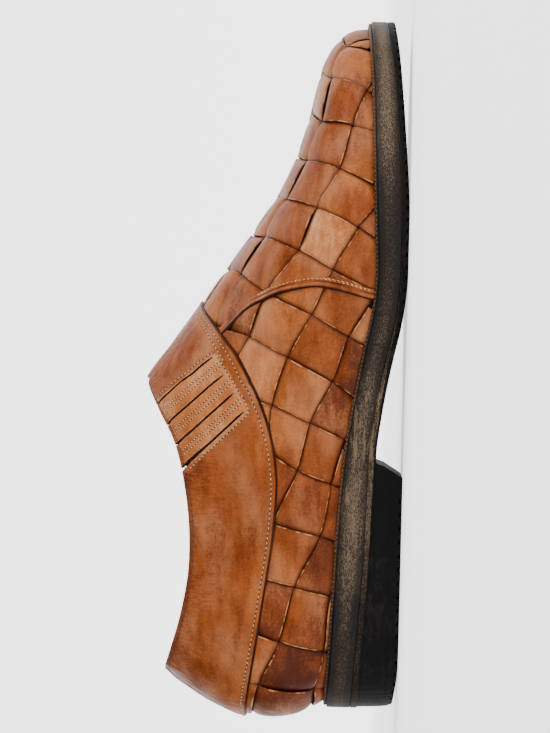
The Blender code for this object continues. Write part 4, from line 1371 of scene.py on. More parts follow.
@dataclass
class SeamRidge:
    """The rolled seam that crosses the weave on one side.

    Attributes:
        last: The surface that it lies on.
        rings: Rings along it.
        section: Its section from the heel side to the toe side, each across and up.
    """

    last: Last
    rings: int = 190
    section: tuple[tuple[float, float], ...] = (
        (-0.80, -1.4), (-1.05, -0.3), (-1.22, 0.7), (-1.22, 1.4),
        (-1.00, 2.1), (-0.55, 2.55), (0.00, 2.68), (0.50, 2.50),
        (0.90, 2.0), (1.18, 1.4), (1.50, 1.05), (2.10, 1.30),
        (2.70, 1.32), (3.15, 1.05), (3.40, 0.5), (3.30, -1.4),
    )

    def path(self, side: Side) -> tuple[Array, Array]:
        """The (turn, climb) of the ridge's line, from under the collar to inside the welt."""
        places = self.last.line_beside(RIDGE_LINE, side)
        places = np.concatenate(([places[0] * 1.6 - places[1] * 0.6], places))
        foot = places[-1] + (places[-1] - places[-2]) * 0.35
        foot[1] = -0.02
        places = np.concatenate((places, [foot]))
        knots = lengths_along(places)
        samples = np.linspace(0, knots[-1], self.rings)
        return smooth(knots, places[:, 0], samples), smooth(knots, places[:, 1], samples)

    def frame(self, side: Side) -> tuple[Array, Array, Array]:
        """The ridge's line with, at each point, the way towards the toe and the way out."""
        turn, climb = self.path(side)
        spine = self.last.point(turn, climb)
        normal = self.last.normal(turn, climb)
        square = unit(np.cross(unit(np.gradient(spine, axis=0)), normal))
        square = np.where(square[:, :1] < 0, -square, square)
        return spine, square, normal

    def build(self, side: Side) -> Piece:
        """Make one side's ridge."""
        spine, square, normal = self.frame(side)
        share = np.linspace(0, 1, self.rings)
        size = 0.55 + 0.45 * ease(0.04, 0.42, share) - 0.12 * ease(0.80, 1.0, share)
        size = size + 0.04 * np.sin(share * 19) + 0.03 * np.sin(share * 43 + 1)
        across, up = (column[:, None, None] for column in close_ring(np.array(self.section)).T)
        size = size[:, None]
        lift = np.where(up > 0.3, 0.3 + (up - 0.3) * size, up)
        rows = spine + square * across * (0.7 + 0.3 * size) + normal * lift
        marks = {"across": across[..., 0] * np.ones(self.rings)}
        piece = lay_grid(f"seam_ridge_{side.value}_roll", rows, marks)
        return close_up(piece, angle=60)


@dataclass
class Lining:
    """The lining behind the weave, from the sole up to the facing of the collar."""

    last: Last
    line: CollarLine
    columns: int = 240
    rows: int = 44

    def build(self) -> Piece:
        """Make the lining as one closed shell."""
        throat = self.last.throat_turn()
        turns = np.linspace(0, 2, self.columns + 1)
        climbs = np.linspace(0.0, 0.985, self.rows)
        turn, climb = np.meshgrid(turns, climbs)
        behind = 1.2 * (COLLAR_FRONT - self.last.point(turn, climb)[..., 0])
        rise = ease(5.9, 11.0, np.minimum(self.line.above(turn, climb), behind))
        closed = (turn < throat) | (turn > 2 - throat)
        rise = np.where(closed & (climb > 0.7), np.maximum(rise, 0), rise)
        out = LINING_OUT + (-0.95 - LINING_OUT) * rise
        climb = np.where(closed, climb / climbs[-1], climb)
        outer = self.last.point(turn, climb, out)
        inner = self.last.point(turn, climb, out - LINING_THICK * (1 - 0.2 * rise))
        outer[0, :, 2] += 0.2
        inner[0, :, 2] += 0.2
        grid = np.concatenate((outer, inner[::-1], outer[:1]))
        grid[:, -1] = grid[:, 0]
        inside = np.concatenate((np.zeros_like(turn), np.ones_like(turn), np.zeros_like(turn[:1])))
        piece = lay_grid("lining", grid, {"inside": inside})
        return close_up(piece, fill=False)


@dataclass(frozen=True)
class Row:
    """A row of stitches: a thread that dips in and out of the leather along a line.

    Attributes:
        line: Points near the leather, in millimetres on the shoe.
        pitch: Distance from stitch to stitch.
        stitch: Length of a stitch.
        thick: Thickness of the thread.
    """

    line: Array
    pitch: float
    stitch: float
    thick: float = 0.42



def from_lowest(face: tuple[int, ...]) -> tuple[int, ...]:
    """The same face, named from its lowest corner on."""
    first = face.index(min(face))
    return face[first:] + face[:first]


@dataclass
class Stitching:
    """All the stitches of one kind, laid on the piece that they hold."""

    name: str
    base: Piece
    lift: float = 0.02
    groove: float = 0.0

    def build(self, rows: Sequence[Row]) -> list[Piece]:
        """Lay rows of stitches.

        Args:
            rows: The rows.

        Returns:
            The thread, and the furrow under it where there is one.
        """
        tree = BVHTree.FromPolygons(
            [tuple(vertex.co) for vertex in self.base.data.vertices],
            [tuple(face.vertices) for face in self.base.data.polygons],
        )
        bpy.ops.mesh.primitive_uv_sphere_add(segments=6, ring_count=5, radius=0.5, calc_uvs=False)
        model = bpy.context.object
        corners = np.array([tuple(vertex.co) for vertex in model.data.vertices])
        faces = sorted(from_lowest(tuple(face.vertices)) for face in model.data.polygons)
        bpy.data.objects.remove(model)
        vertices: list[Array] = []
        furrows: list[Piece] = []
        for number, row in enumerate(rows):
            length = lengths_along(row.line)[-1]
            count = max(int(length / row.pitch), 1)
            reached = (np.arange(count) + 0.5) * length / count
            spots, normals = self._nearest(tree, read_line(row.line, reached))
            way = read_line(row.line, reached + 0.3) - read_line(row.line, reached - 0.3)
            way = unit(way - normals * np.sum(way * normals, axis=1, keepdims=True))
            square = np.cross(normals, way)
            for at in range(count):
                long = row.stitch * (0.92 + 0.16 * chance(number, at))
                ahead = way[at] + square[at] * 0.10 * (chance(number, at, 2) - 0.5)
                axes = (square[at] * row.thick, ahead * long, normals[at] * row.thick * 0.8)
                vertices.append(spots[at] + (normals[at] * self.lift + corners @ axes) * MM)
            if self.groove > 0:
                furrows.append(self._furrow(row, tree, number))
        starts = range(0, len(vertices) * len(corners), len(corners))
        polygons = [[start + corner for corner in face] for start in starts for face in faces]
        mesh = bpy.data.meshes.new(self.name)
        mesh.from_pydata(np.concatenate(vertices).tolist(), [], polygons)
        mesh.shade_smooth()
        thread = bpy.data.objects.new(self.name, mesh)
        bpy.context.scene.collection.objects.link(thread)
        return [thread, join(f"{self.name}_furrow", furrows)] if furrows else [thread]

    @staticmethod
    def _nearest(tree: BVHTree, points: Array) -> tuple[Array, Array]:
        """The nearest spots of the piece, in the scene, and the ways out of it there."""
        found = [tree.find_nearest(Vector(to_scene(point))) for point in points]
        spots, normals = (np.array([tuple(hit[part]) for hit in found]) for part in (0, 1))
        return spots, unit(normals)

    def _furrow(self, row: Row, tree: BVHTree, number: int) -> Piece:
        """A dark strip along the line in which a row lies, painted shade of its groove and holes.
        """
        count = max(int(lengths_along(row.line)[-1] / 0.8), 2)
        spots, normals = self._nearest(tree, evenly(row.line, count))
        spots = spots / MM + (ORIGIN_ALONG, ORIGIN_ACROSS, 0.0)
        square = np.cross(normals, unit(np.gradient(spots, axis=0))) * self.groove / 2
        section = ((-1.0, -0.15), (-0.8, 0.035), (0.8, 0.035), (1.0, -0.15), (0.0, -0.3))
        rows = [spots + square * across + normals * up for across, up in section]
        piece = lay_grid(f"{self.name}_furrow_{number}", np.array([*rows, rows[0]]))
        return close_up(piece, angle=60)


def in_window(along: Array, up: Array) -> Array:
    """How surely places of the side view lie within the outline of the straps, 0 to 1."""
    outline = np.array(window_line())
    inside = np.ones(np.shape(along))
    for start, end in zip(outline, outline[1:]):
        way = unit(end - start)
        square = np.array((-way[1], way[0]))
        if np.dot(square, outline.mean(axis=0) - start) < 0:
            square = -square
        away = (along - start[0]) * square[0] + (up - start[1]) * square[1]
        inside = inside * ease(-0.3, 0.3, away)
    return inside


@dataclass(frozen=True)
class Notches:
    """The notches in a tread's edge.

    Attributes:
        pitch: Distance from notch to notch.
        width: Width of a notch.
        reach: How far it reaches in from the edge.
        height: Its height.
    """

    pitch: float
    width: float = 2.1
    reach: float = 3.6
    height: float = 1.3


class SolePlan:
    """The plan outline of the sole, round from the toe along the outer side."""

    def __init__(self, last: Last, columns: int, notches: Notches | None = None) -> None:
        """Place the columns, with a pair of them at each side of every notch."""
        turns = np.linspace(0, 2, last.COLUMNS + 1)
        margin = np.append(last.shared("margin", turns[:-1]), 0)
        margin[-1] = margin[0]
        feather, outward = close_ring(last.feather), close_ring(last.outward)
        reached = lengths_along(feather + outward * margin[:, None])
        places = np.linspace(0, reached[-1], columns, endpoint=False)
        self.notched = np.zeros(0)
        if notches is not None:
            count = int(reached[-1] / notches.pitch)
            centres = (np.arange(count) + 0.5) * reached[-1] / count
            half = notches.width / 2
            walls = [centres + side * half + step for side in (-1, 1) for step in (-0.06, 0.06)]
            places = np.unique(np.concatenate((places, *walls)).round(4))
            away = np.min(np.abs(places[:, None] - centres), axis=1)
            self.notched = (away < notches.width / 2).astype(float)
        self.turns = np.interp(places, reached, turns)
        self.feather = read_table(turns, feather, self.turns)
        self.outward = unit(read_table(turns, outward, self.turns))
        self.margin = np.interp(self.turns, turns, margin)

    def edge(self, set_back: Array | float = 0.0) -> Array:
        """The sole's edge, set back by a distance."""
        return self.feather + self.outward * (self.margin - set_back)[:, None]

    def inside(self, distance: float) -> Array:
        """A line inside the feather line by a distance."""
        return self.feather - self.outward * distance


def middle_of(ring: Array) -> Array:
    """For each column of a ring, the middle between it and the column that faces it."""
    return (ring + np.roll(ring[::-1], 1, axis=0)) / 2


def raise_ring(plan: Array, column: str, rise: Array | float) -> Array:
    """A plan line set at a height above the sole's under side or top."""
    return np.column_stack((plan, sole_height(column, plan[:, 0]) + rise))


@dataclass
class Sole:
    """The layers of the sole.

    Attributes:
        last: The surface that gives its outline.
        outsole_thick: Thickness of the rubber outsole.
        gap: Gap between the layers, below nothing where they press into each other.
        welt_thick: Thickness of the welt.
        set_back: How far the welt's edge lies behind the sole's.
        tread: The notches in the outsole's edge.
        tread_back_end: Where the notches end towards the heel.
    """

    last: Last
    outsole_thick: float = 3.2
    gap: float = -0.05
    welt_thick: float = 1.4
    set_back: float = 0.8
    tread: Notches = Notches(4.9)
    tread_back_end: float = 158.0

    def _plate(self, name: str, rings: list[Array], shares: Sequence[float]) -> Piece:
        """Make a plate from the rings of its edge, closed with strips from side to side."""
        low, high = middle_of(rings[0]), middle_of(rings[-1])
        under = [low + (rings[0] - low) * share for share in shares]
        top = [high + (rings[-1] - high) * share for share in reversed(shares)]
        grid = close_ring(np.array(under + rings + top))
        rise = grid[..., 2] - sole_height("under", grid[..., 0])
        drop = sole_height("top", grid[..., 0]) - grid[..., 2]
        # Painted shade: the midsole's edge darkens under the welt and above the outsole.
        border_shade = np.maximum(ease(5.0, 1.8, drop), ease(5.0, 3.6, rise))
        border_shade *= rise > self.outsole_thick
        return close_up(lay_grid(name, grid, {"rise": rise, "border_shade": border_shade}), angle=35)

    def outsole(self) -> Piece:
        """The rubber outsole, with its notched edge."""
        plan = SolePlan(self.last, 620, self.tread)
        front = ease(self.tread_back_end - 0.5, self.tread_back_end + 0.5, plan.edge()[:, 0])
        notch = plan.notched * front * self.tread.height
        section = (
            (self.tread.reach, 0.0), (0.9, 0.0), (0.35, 0.15), (0.08, 0.5),
            (0.0, 1.0), (0.0, 2.6), (0.12, 3.0), (0.45, 3.2),
        )
        rings = [raise_ring(plan.edge(self.tread.reach + 0.05), "under", 0.0)]
        for set_back, rise in section:
            rings.append(raise_ring(plan.edge(set_back), "under", np.maximum(notch, rise)))
        return self._plate("rubber_outsole", rings, (0.0, 0.35, 0.7))

    def midsole(self) -> Piece:
        """The stacked edge of the midsole."""
        plan = SolePlan(self.last, 720)
        bulge = 0.10 * np.sin(plan.turns * 41) * np.sin(plan.turns * 23 + 1)
        foot, head = self.outsole_thick + self.gap, -self.welt_thick - self.gap
        wavy = -bulge * 0.4
        low = ((1.4, foot), (0.55, foot), (0.15 - bulge * 0.3, foot + 0.25), (wavy, foot + 0.7))
        high = ((wavy, head - 0.8), (0.15, head - 0.35), (0.5, head - 0.08), (1.4, head))
        low = [raise_ring(plan.edge(set_back), "under", rise) for set_back, rise in low]
        high = [raise_ring(plan.edge(set_back), "top", rise) for set_back, rise in high]
        side = [low[-1] + (high[0] - low[-1]) * share for share in (0.33, 0.66)]
        return self._plate("midsole_edge", low + side + high, (0.0, 0.4, 0.8))

    def welt(self) -> Piece:
        """The welt: a thin band with a rounded edge and a small lip against the upper."""
        plan = SolePlan(self.last, 720)
        foot, tight = -self.welt_thick, plan.inside(0.0)
        edge = (
            (0.35, foot), (0.05, foot + 0.3), (0.0, foot + 0.7),
            (0.12, -0.30), (0.45, -0.05), (0.9, 0.0), (1.5, -0.12),
        )
        lip = ((-0.5, 0.15), (0.3, 0.15), (2.3, 0.0), (2.3, foot))
        section = [(plan.inside(2.3), foot)]
        section += [(plan.edge(self.set_back + further), rise) for further, rise in edge]
        section += [(tight + (section[-1][0] - tight) * 0.4, 0.10)]
        section += [(plan.inside(distance), rise) for distance, rise in lip]
        rows = [raise_ring(line, "top", rise) for line, rise in section]
        return close_up(lay_grid("welt_band", close_ring(np.array(rows))), angle=50, fill=False)

    def welt_line(self, set_back: float, rise: float) -> Array:
        """A line along the welt for its stitches."""
        plan = SolePlan(self.last, 900)
        return close_ring(raise_ring(plan.edge(set_back), "top", rise))

    def insole(self) -> Piece:
        """The insole under its leather cover, a little cupped at the heel."""
        plan = SolePlan(self.last, 300)
        side = ((2.9, -1.3), (2.6, -1.0), (2.6, 0.6), (2.7, 1.0), (3.2, 1.2))
        rings = [raise_ring(plan.inside(distance), "top", rise) for distance, rise in side]
        middle = raise_ring(middle_of(plan.inside(3.2)), "top", 0.0)
        rows = [middle + (rings[0] - middle) * share for share in (0.0, 0.5)]
        for row in rows:
            row[:, 2] = sole_height("top", row[:, 0]) - 1.3
        rows += rings
        for share in (0.92, 0.8, 0.65, 0.5, 0.35, 0.2, 0.0):
            row = middle + (rings[-1] - middle) * share
            sag = 0.9 * (1 - share**2) * ease(110, 40, row[:, 0])
            pad = 0.5 * ease(0.7, 0.4, share) * ease(98, 94, row[:, 0])
            row[:, 2] = sole_height("top", row[:, 0]) + 1.2 - sag + pad
            rows.append(row)
        return close_up(lay_grid("insole_cover", close_ring(np.array(rows))), angle=40)


@dataclass
class Heel:
    """The stacked rubber heel, with its slanted breast and notched foot.

    Attributes:
        last: The surface that gives its outline.
        set_back: How far its top lies behind the sole's edge.
        taper: How much further its foot lies behind.
        breast_top: Place of the breast's top along the shoe.
        breast_foot: Place of its foot.
        cap: Height of the top piece that touches the ground.
        wear: How far the back corner of the foot is worn away.
        tread: The notches in its foot.
        tread_front_end: Where the notches end towards the breast.
    """

    last: Last
    set_back: float = 0.45
    taper: float = 1.5
    breast_top: float = 108.5
    breast_foot: float = 102.4
    cap: float = 5.4
    wear: float = 2.4
    tread: Notches = Notches(5.8)
    tread_front_end: float = 96.0

    def build(self) -> Piece:
        """Make the heel."""
        plan = SolePlan(self.last, 620, self.tread)
        along = plan.edge()[:, 0]
        keep = along < self.breast_foot - 0.2
        notched = plan.notched * ease(self.tread_front_end + 0.5, self.tread_front_end - 0.5, along)
        notch = notched[keep] * self.tread.height
        slant = self.breast_top - self.breast_foot

        def ring(set_back: float, front: float, rise: Array | float) -> Array:
            """A ring from the outer end of the breast round the back to the inner end."""
            line = np.column_stack((plan.edge(set_back)[keep], np.zeros(len(notch)) + rise))
            line[[0, -1], 0] = front
            return line

        foot = self.set_back + self.taper
        cap = self.cap / 10
        # How far each ring lies behind the foot, its share of the breast's slant, and its height.
        side = (
            (self.tread.reach, 0.0, 0.0),
            (0.5, 0.0, 0.0),
            (0.1, 0.0, 0.2),
            (0.0, 0.04, 0.6),
            (-self.taper * 0.2, 0.2, 2.0),
            (-self.taper * 0.34, 0.34, 3.4),
            (-self.taper * (cap - 0.025), cap - 0.025, self.cap - 0.25),
            (0.12 - self.taper * cap, cap, self.cap),
            (-self.taper * cap, cap, self.cap + 0.2),
            (-self.taper * 0.7, 0.78, 7.8),
        )
        rings = [ring(foot + self.tread.reach + 0.05, self.breast_foot, 0.0)]
        for behind, share, rise in side:
            front = self.breast_foot + slant * share
            rings.append(ring(foot + behind, front, np.maximum(notch, rise)))
        for behind, front, drop in ((0.12, -0.4, 1.0), (0.02, 0.0, 0.3), (0.1, 0.0, -0.05)):
            line = ring(self.set_back + behind, self.breast_top + front, 0.0)
            rings.append(raise_ring(line[:, :2], "under", -drop))
        for worn in rings[:6]:
            worn[:, 2] += self.wear * ease(24.0, -6.0, worn[:, 0])
        low, high = ((end + end[::-1]) / 2 for end in (rings[0], rings[-1]))
        under = [low + (rings[0] - low) * share for share in (0.0, 0.5)]
        top = [high + (rings[-1] - high) * share for share in (0.5, 0.0)]
        top = [raise_ring(row[:, :2], "under", -0.3) for row in top]
        return close_up(lay_grid("rubber_heel", np.array(under + rings + top)), angle=35)


# Finishes. Every one is worked out from places on the piece itself or from its own marks.


def tint(red: int, green: int, blue: int) -> Colour:
    """A colour from values of 0 to 255 as a paint chart gives them."""
    shares = np.array((red, green, blue)) / 255
    linear = np.where(shares <= 0.04045, shares / 12.92, ((shares + 0.055) / 1.055) ** 2.4)
    return tuple(linear.tolist())


class Bench:
    """Where a material's nodes are put together."""

    def __init__(self, name: str) -> None:
        self.material = bpy.data.materials.new(name)
        self.material.use_nodes = True
        self.nodes = self.material.node_tree.nodes
        self.links = self.material.node_tree.links
        self.shader = self.nodes["Principled BSDF"]
        self.place = self.nodes.new("ShaderNodeTexCoord").outputs["Object"]

    def join(self, value: Value, socket: Socket) -> None:
        """Link a value to a socket, or set it there."""
        if isinstance(value, Socket):
            self.links.new(value, socket)
        else:
            socket.default_value = value

    def node(self, kind: str, sockets: dict[str, Value]) -> bpy.types.Node:
        """A new node with links or values for its sockets."""
        made = self.nodes.new(f"ShaderNode{kind}")
        for name, value in sockets.items():
            self.join(value, made.inputs[name])
        return made

    def along(self, axis: str) -> Socket:
        """One coordinate of the place on the piece."""
        return self.node("SeparateXYZ", {"Vector": self.place}).outputs[axis]

    def stretched(self, scale: Sequence[float], turn: Sequence[float] = (0, 0, 0)) -> Socket:
        """The place on the piece, stretched and turned."""
        sockets = {"Vector": self.place, "Scale": scale, "Rotation": turn}
        return self.node("Mapping", sockets).outputs["Vector"]

    def noise(
        self, scale: float, detail: float = 3.0, rough: float = 0.5, at: Socket | None = None
    ) -> Socket:
        """Soft noise."""
        sockets = {"Vector": at or self.place, "Scale": scale, "Detail": detail, "Roughness": rough}
        return self.node("TexNoise", sockets).outputs["Fac"]

    def cells(self, scale: float, at: Socket | None = None) -> Socket:
        """Distances in a pattern of cells."""
        sockets = {"Vector": at or self.place, "Scale": scale}
        return self.node("TexVoronoi", sockets).outputs["Distance"]

    def mark(self, name: str) -> Socket:
        """One of the piece's own marks."""
        node = self.node("Attribute", {})
        node.attribute_name = name
        return node.outputs["Fac"]

    def work(self, kind: str, first: Socket | float, second: Socket | float = 0.0) -> Socket:
        """Work out a value from one or two."""
        node = self.node("Math", {})
        node.operation = kind
        self.join(first, node.inputs[0])
        self.join(second, node.inputs[1])
        return node.outputs["Value"]

    def plus(self, first: Socket, second: Socket | float) -> Socket:
        """Two values together."""
        return self.work("ADD", first, second)

    def times(self, first: Socket, second: Socket | float) -> Socket:
        """One value times another."""
        return self.work("MULTIPLY", first, second)

    def fit(
        self, value: Socket, low: float, high: float, to_low: float = 0.0, to_high: float = 1.0
    ) -> Socket:
        """Spread a value from one range over another, softly."""
        sockets = {"From Min": low, "From Max": high, "To Min": to_low, "To Max": to_high}
        node = self.node("MapRange", {"Value": value, **sockets})
        node.interpolation_type = "SMOOTHSTEP"
        return node.outputs["Result"]

    def ramp(self, value: Socket, stops: Sequence[tuple[float, Colour]]) -> Socket:
        """Colours along a value."""
        node = self.node("ValToRGB", {"Fac": value})
        elements = node.color_ramp.elements
        while len(elements) < len(stops):
            elements.new(0.5)
        for element, (at, colour) in zip(elements, stops):
            element.position = at
            element.color = (*colour, 1.0)
        return node.outputs["Color"]

    def mix(self, share: Value, first: Value, second: Value) -> Socket:
        """Mix two colours."""
        node = self.node("Mix", {})
        node.data_type = "RGBA"
        self.join(share, node.inputs[0])
        for value, socket in ((first, node.inputs[6]), (second, node.inputs[7])):
            self.join((*value, 1.0) if isinstance(value, tuple) else value, socket)
        return node.outputs[2]

    def bump(
        self, height: Socket, distance: float, strength: float = 1.0, under: Socket | None = None
    ) -> Socket:
        """Relief from a height."""
        node = self.node("Bump", {"Strength": strength, "Distance": distance, "Height": height})
        if under is not None:
            self.join(under, node.inputs["Normal"])
        return node.outputs["Normal"]

    def finish(
        self,
        colour: Socket,
        roughness: Socket | float,
        normal: Socket | None,
        coat: float,
        specular: float,
    ) -> Material:
        """Bring all to the shader.

        Args:
            colour: The base colour.
            roughness: The roughness.
            normal: The relief, if any.
            coat: Weight of the polish on top.
            specular: Strength of the gloss.

        Returns:
            The material.
        """
        inputs = self.shader.inputs
        self.join(colour, inputs["Base Color"])
        self.join(roughness, inputs["Roughness"])
        if normal is not None:
            self.join(normal, inputs["Normal"])
        inputs["Specular IOR Level"].default_value = specular
        inputs["Coat Weight"].default_value = coat
        inputs["Coat Roughness"].default_value = 0.30
        return self.material


@dataclass(frozen=True)
class BurnishedLeather:
    """Calf leather dyed by hand, with lighter and darker places.

    Attributes:
        name: Name of the material.
        dark, deep, middle, light, pale: Its colours, from its darkest places to its palest.
        rubbed: Colour where the dye is rubbed thin, also used for painted soft highlights.
        edge: Colour of its cut edges.
        roughness: Its roughness.
        coat: Weight of the polish.
        rub_and_sheen: How strongly the rubbed places and the painted highlights show.
    """

    name: str
    dark: Colour = tint(60, 20, 4)
    deep: Colour = tint(96, 42, 12)
    middle: Colour = tint(126, 63, 24)
    light: Colour = tint(151, 88, 46)
    pale: Colour = tint(186, 128, 84)
    rubbed: Colour = tint(192, 136, 98)
    edge: Colour = tint(190, 130, 80)
    roughness: float = 0.46
    coat: float = 0.05
    rub_and_sheen: float = 0.30

    def _shades(self, bench: Bench, tone: Socket) -> Socket:
        """The leather's colour for a tone, with rubbed places that are partly painted highlights.
        """
        tones = (self.dark, self.deep, self.middle, self.light, self.pale)
        colour = bench.ramp(tone, list(zip((0.0, 0.25, 0.5, 0.75, 1.0), tones)))
        # Painted highlight: soft pale patches, partly rubbed dye and partly standing in for gloss.
        way = bench.stretched((0.55, 1.0, 1.0), (0.0, 0.7, 0.0))
        thin = bench.fit(bench.noise(60.0, 2.0, 0.4, way), 0.42, 0.80, 0.0, self.rub_and_sheen)
        thin = bench.times(thin, bench.fit(tone, 0.12, 0.40, 0.2, 1.0))
        return bench.mix(thin, colour, self.rubbed)

    def _relief(self, bench: Bench) -> Socket:
        """Pores, fine lines and a soft unevenness."""
        pores = bench.cells(1500.0)
        fine = bench.noise(900.0, 4.0, 0.6, bench.stretched((0.5, 1.0, 1.0)))
        soft = bench.noise(170.0, 2.0, 0.5, bench.stretched((0.6, 1.0, 1.0)))
        height = bench.plus(bench.times(pores, 0.25), bench.times(fine, 0.5))
        return bench.bump(soft, 0.0009, 0.5, bench.bump(height, 0.00012, 0.5))

    def _rough(self, bench: Bench) -> Socket:
        """A roughness that changes softly from place to place."""
        patches = bench.noise(90.0, 3.0)
        return bench.fit(patches, 0.3, 0.7, self.roughness - 0.05, self.roughness + 0.08)

    def _patches(self, bench: Bench, wide: float = 0.34, streak: float = 0.26) -> Socket:
        """Uneven dye: broad patches, streaks along the shoe and fine speckle, about 0."""
        broad = bench.fit(bench.noise(48.0, 3.0, 0.55), 0.3, 0.7, -wide / 2, wide / 2)
        way = bench.stretched((0.28, 1.0, 1.0), (0.0, 0.12, 0.0))
        streaks = bench.fit(bench.noise(230.0, 4.0, 0.6, way), 0.3, 0.7, -streak / 2, streak / 2)
        speckle = bench.fit(bench.noise(1100.0, 2.0, 0.6), 0.3, 0.7, -0.07, 0.07)
        return bench.plus(bench.plus(broad, streaks), speckle)


@dataclass(frozen=True)
class WovenLeather(BurnishedLeather):
    """The leather of the strips."""

    def material(self) -> Material:
        """Make the material."""
        bench = Bench(self.name)
        tone = bench.plus(bench.mark("tone"), self._patches(bench, 0.26, 0.22))
        colour = self._shades(bench, tone)
        # Painted shade: the strips darken towards near black where they dive under their
        # neighbours.
        depth = bench.fit(bench.mark("depth"), 0.26, 0.68, 0.0, 0.90)
        colour = bench.mix(depth, colour, tint(44, 14, 5))
        side = bench.work("ABSOLUTE", bench.mark("across"))
        shoulder = bench.fit(side, 0.82, 0.95, 0.0, 0.26)
        colour = bench.mix(shoulder, colour, self.dark)
        worn = bench.fit(bench.noise(300.0, 2.0), 0.46, 0.62, 0.0, 0.75)
        rim = bench.times(bench.fit(side, 0.935, 0.965), worn)
        rim = bench.times(rim, bench.fit(bench.mark("depth"), 0.15, 0.4, 1.0, 0.0))
        colour = bench.mix(rim, colour, self.edge)
        # Painted shade: the strips' undersides and their cut side walls, down in the gaps, are near
        # black.
        under = bench.work("MAXIMUM", bench.mark("under"), bench.fit(side, 0.985, 0.998, 0.0, 0.8))
        colour = bench.mix(under, colour, tint(34, 12, 5))
        return bench.finish(colour, self._rough(bench), self._relief(bench), self.coat, 0.07)


@dataclass(frozen=True)
class CollarLeather(BurnishedLeather):
    """The leather of the collar and its straps."""

    facing: Colour = tint(150, 104, 66)

    def material(self) -> Material:
        """Make the material."""
        bench = Bench(self.name)
        tone = bench.plus(self._patches(bench, 0.18, 0.17), 0.35)
        tone = bench.plus(tone, bench.times(bench.mark("strap"), 0.40))
        hem = bench.mark("hem")
        # Painted highlight: a lighter band along the hem, partly the leather's own lighter edge.
        band = bench.times(bench.fit(hem, 0.7, 1.2), bench.fit(hem, 8.4, 6.2))
        tone = bench.plus(tone, bench.times(band, 0.12))
        colour = self._shades(bench, tone)
        lip = bench.mark("lip")
        lines = bench.noise(420.0, 3.0, 0.6, bench.stretched((1.0, 1.0, 0.3), (0.0, -0.35, 0.0)))
        near = bench.fit(lip, 24.0, 6.0, 0.25)
        where = bench.times(bench.fit(bench.noise(34.0, 2.0), 0.36, 0.58), near)
        # Painted shade: the fine wrinkles below the topline are darkened along their lines.
        folds = bench.times(bench.fit(lines, 0.47, 0.36, 0.0, 0.42), where)
        colour = bench.mix(folds, colour, self.deep)
        colour = bench.mix(bench.fit(hem, 1.0, 0.45, 0.0, 0.94), colour, tint(38, 15, 8))
        colour = bench.mix(bench.fit(lip, 1.9, 0.4, 0.0, 0.50), colour, self.dark)
        # The closing seam down the back is painted near black, partly as painted shade on the
        # heel's back rim.
        seam = bench.fit(bench.mark("seam"), 0.15, 0.75, 0.0, 0.88)
        colour = bench.mix(seam, colour, self.dark)
        colour = bench.mix(bench.mark("inside"), colour, self.facing)
        wrinkles = bench.bump(bench.times(lines, where), 0.0026, 0.8, self._relief(bench))
        return bench.finish(colour, self._rough(bench), wrinkles, 0.0, 0.07)


@dataclass(frozen=True)
class RidgeLeather(BurnishedLeather):
    """The rolled seam's leather, with painted highlight and painted shade across its roll."""

    def material(self) -> Material:
        """Make the material."""
        bench = Bench(self.name)
        across = bench.mark("across")
        # Painted highlight: lighter towards the top of the roll and its toe side.
        tone = bench.plus(self._patches(bench), bench.fit(across, -0.4, 0.6, 0.26, 0.48))
        colour = self._shades(bench, tone)
        # Painted shade on the heel side of the roll.
        colour = bench.mix(bench.fit(across, 0.0, -0.75, 0.0, 0.97), colour, tint(26, 9, 4))
        # Painted shade in the groove between the roll and the stitched flange.
        groove = bench.work("ABSOLUTE", bench.work("SUBTRACT", across, 1.5))
        colour = bench.mix(bench.fit(groove, 0.5, 0.1, 0.0, 0.72), colour, self.dark)
        return bench.finish(colour, self.roughness, self._relief(bench), self.coat, 0.08)


@dataclass(frozen=True)
class LiningLeather:
    """Plain lining leather, painted dark as shade where it backs the weave."""

    name: str
    colour: Colour = tint(164, 122, 82)
    gap_shade: Colour = tint(44, 22, 14)
    roughness: float = 0.62

    def material(self) -> Material:
        """Make the material."""
        bench = Bench(self.name)
        patches = bench.fit(bench.noise(60.0, 3.0), 0.3, 0.7)
        colour = bench.mix(patches, self.colour, tuple(value * 0.78 for value in self.colour))
        # Painted shade: the face towards the weave, seen only through its gaps, is dark.
        colour = bench.mix(bench.mark("inside"), self.gap_shade, colour)
        fine = bench.noise(1200.0, 3.0)
        return bench.finish(colour, self.roughness, bench.bump(fine, 0.0001, 0.5), 0.0, 0.3)


@dataclass(frozen=True)
class InsoleLeather:
    """The insole's cover, a little polished and darkened where the foot rests."""

    name: str
    colour: Colour = tint(168, 124, 84)
    worn: Colour = tint(128, 88, 56)
    roughness: float = 0.55

    def material(self) -> Material:
        """Make the material."""
        bench = Bench(self.name)
        patches = bench.fit(bench.noise(26.0, 3.0), 0.35, 0.7)
        colour = bench.mix(patches, self.colour, self.worn)
        height = bench.plus(bench.noise(1000.0, 3.0), bench.cells(1400.0))
        return bench.finish(colour, self.roughness, bench.bump(height, 0.0001, 0.5), 0.05, 0.35)


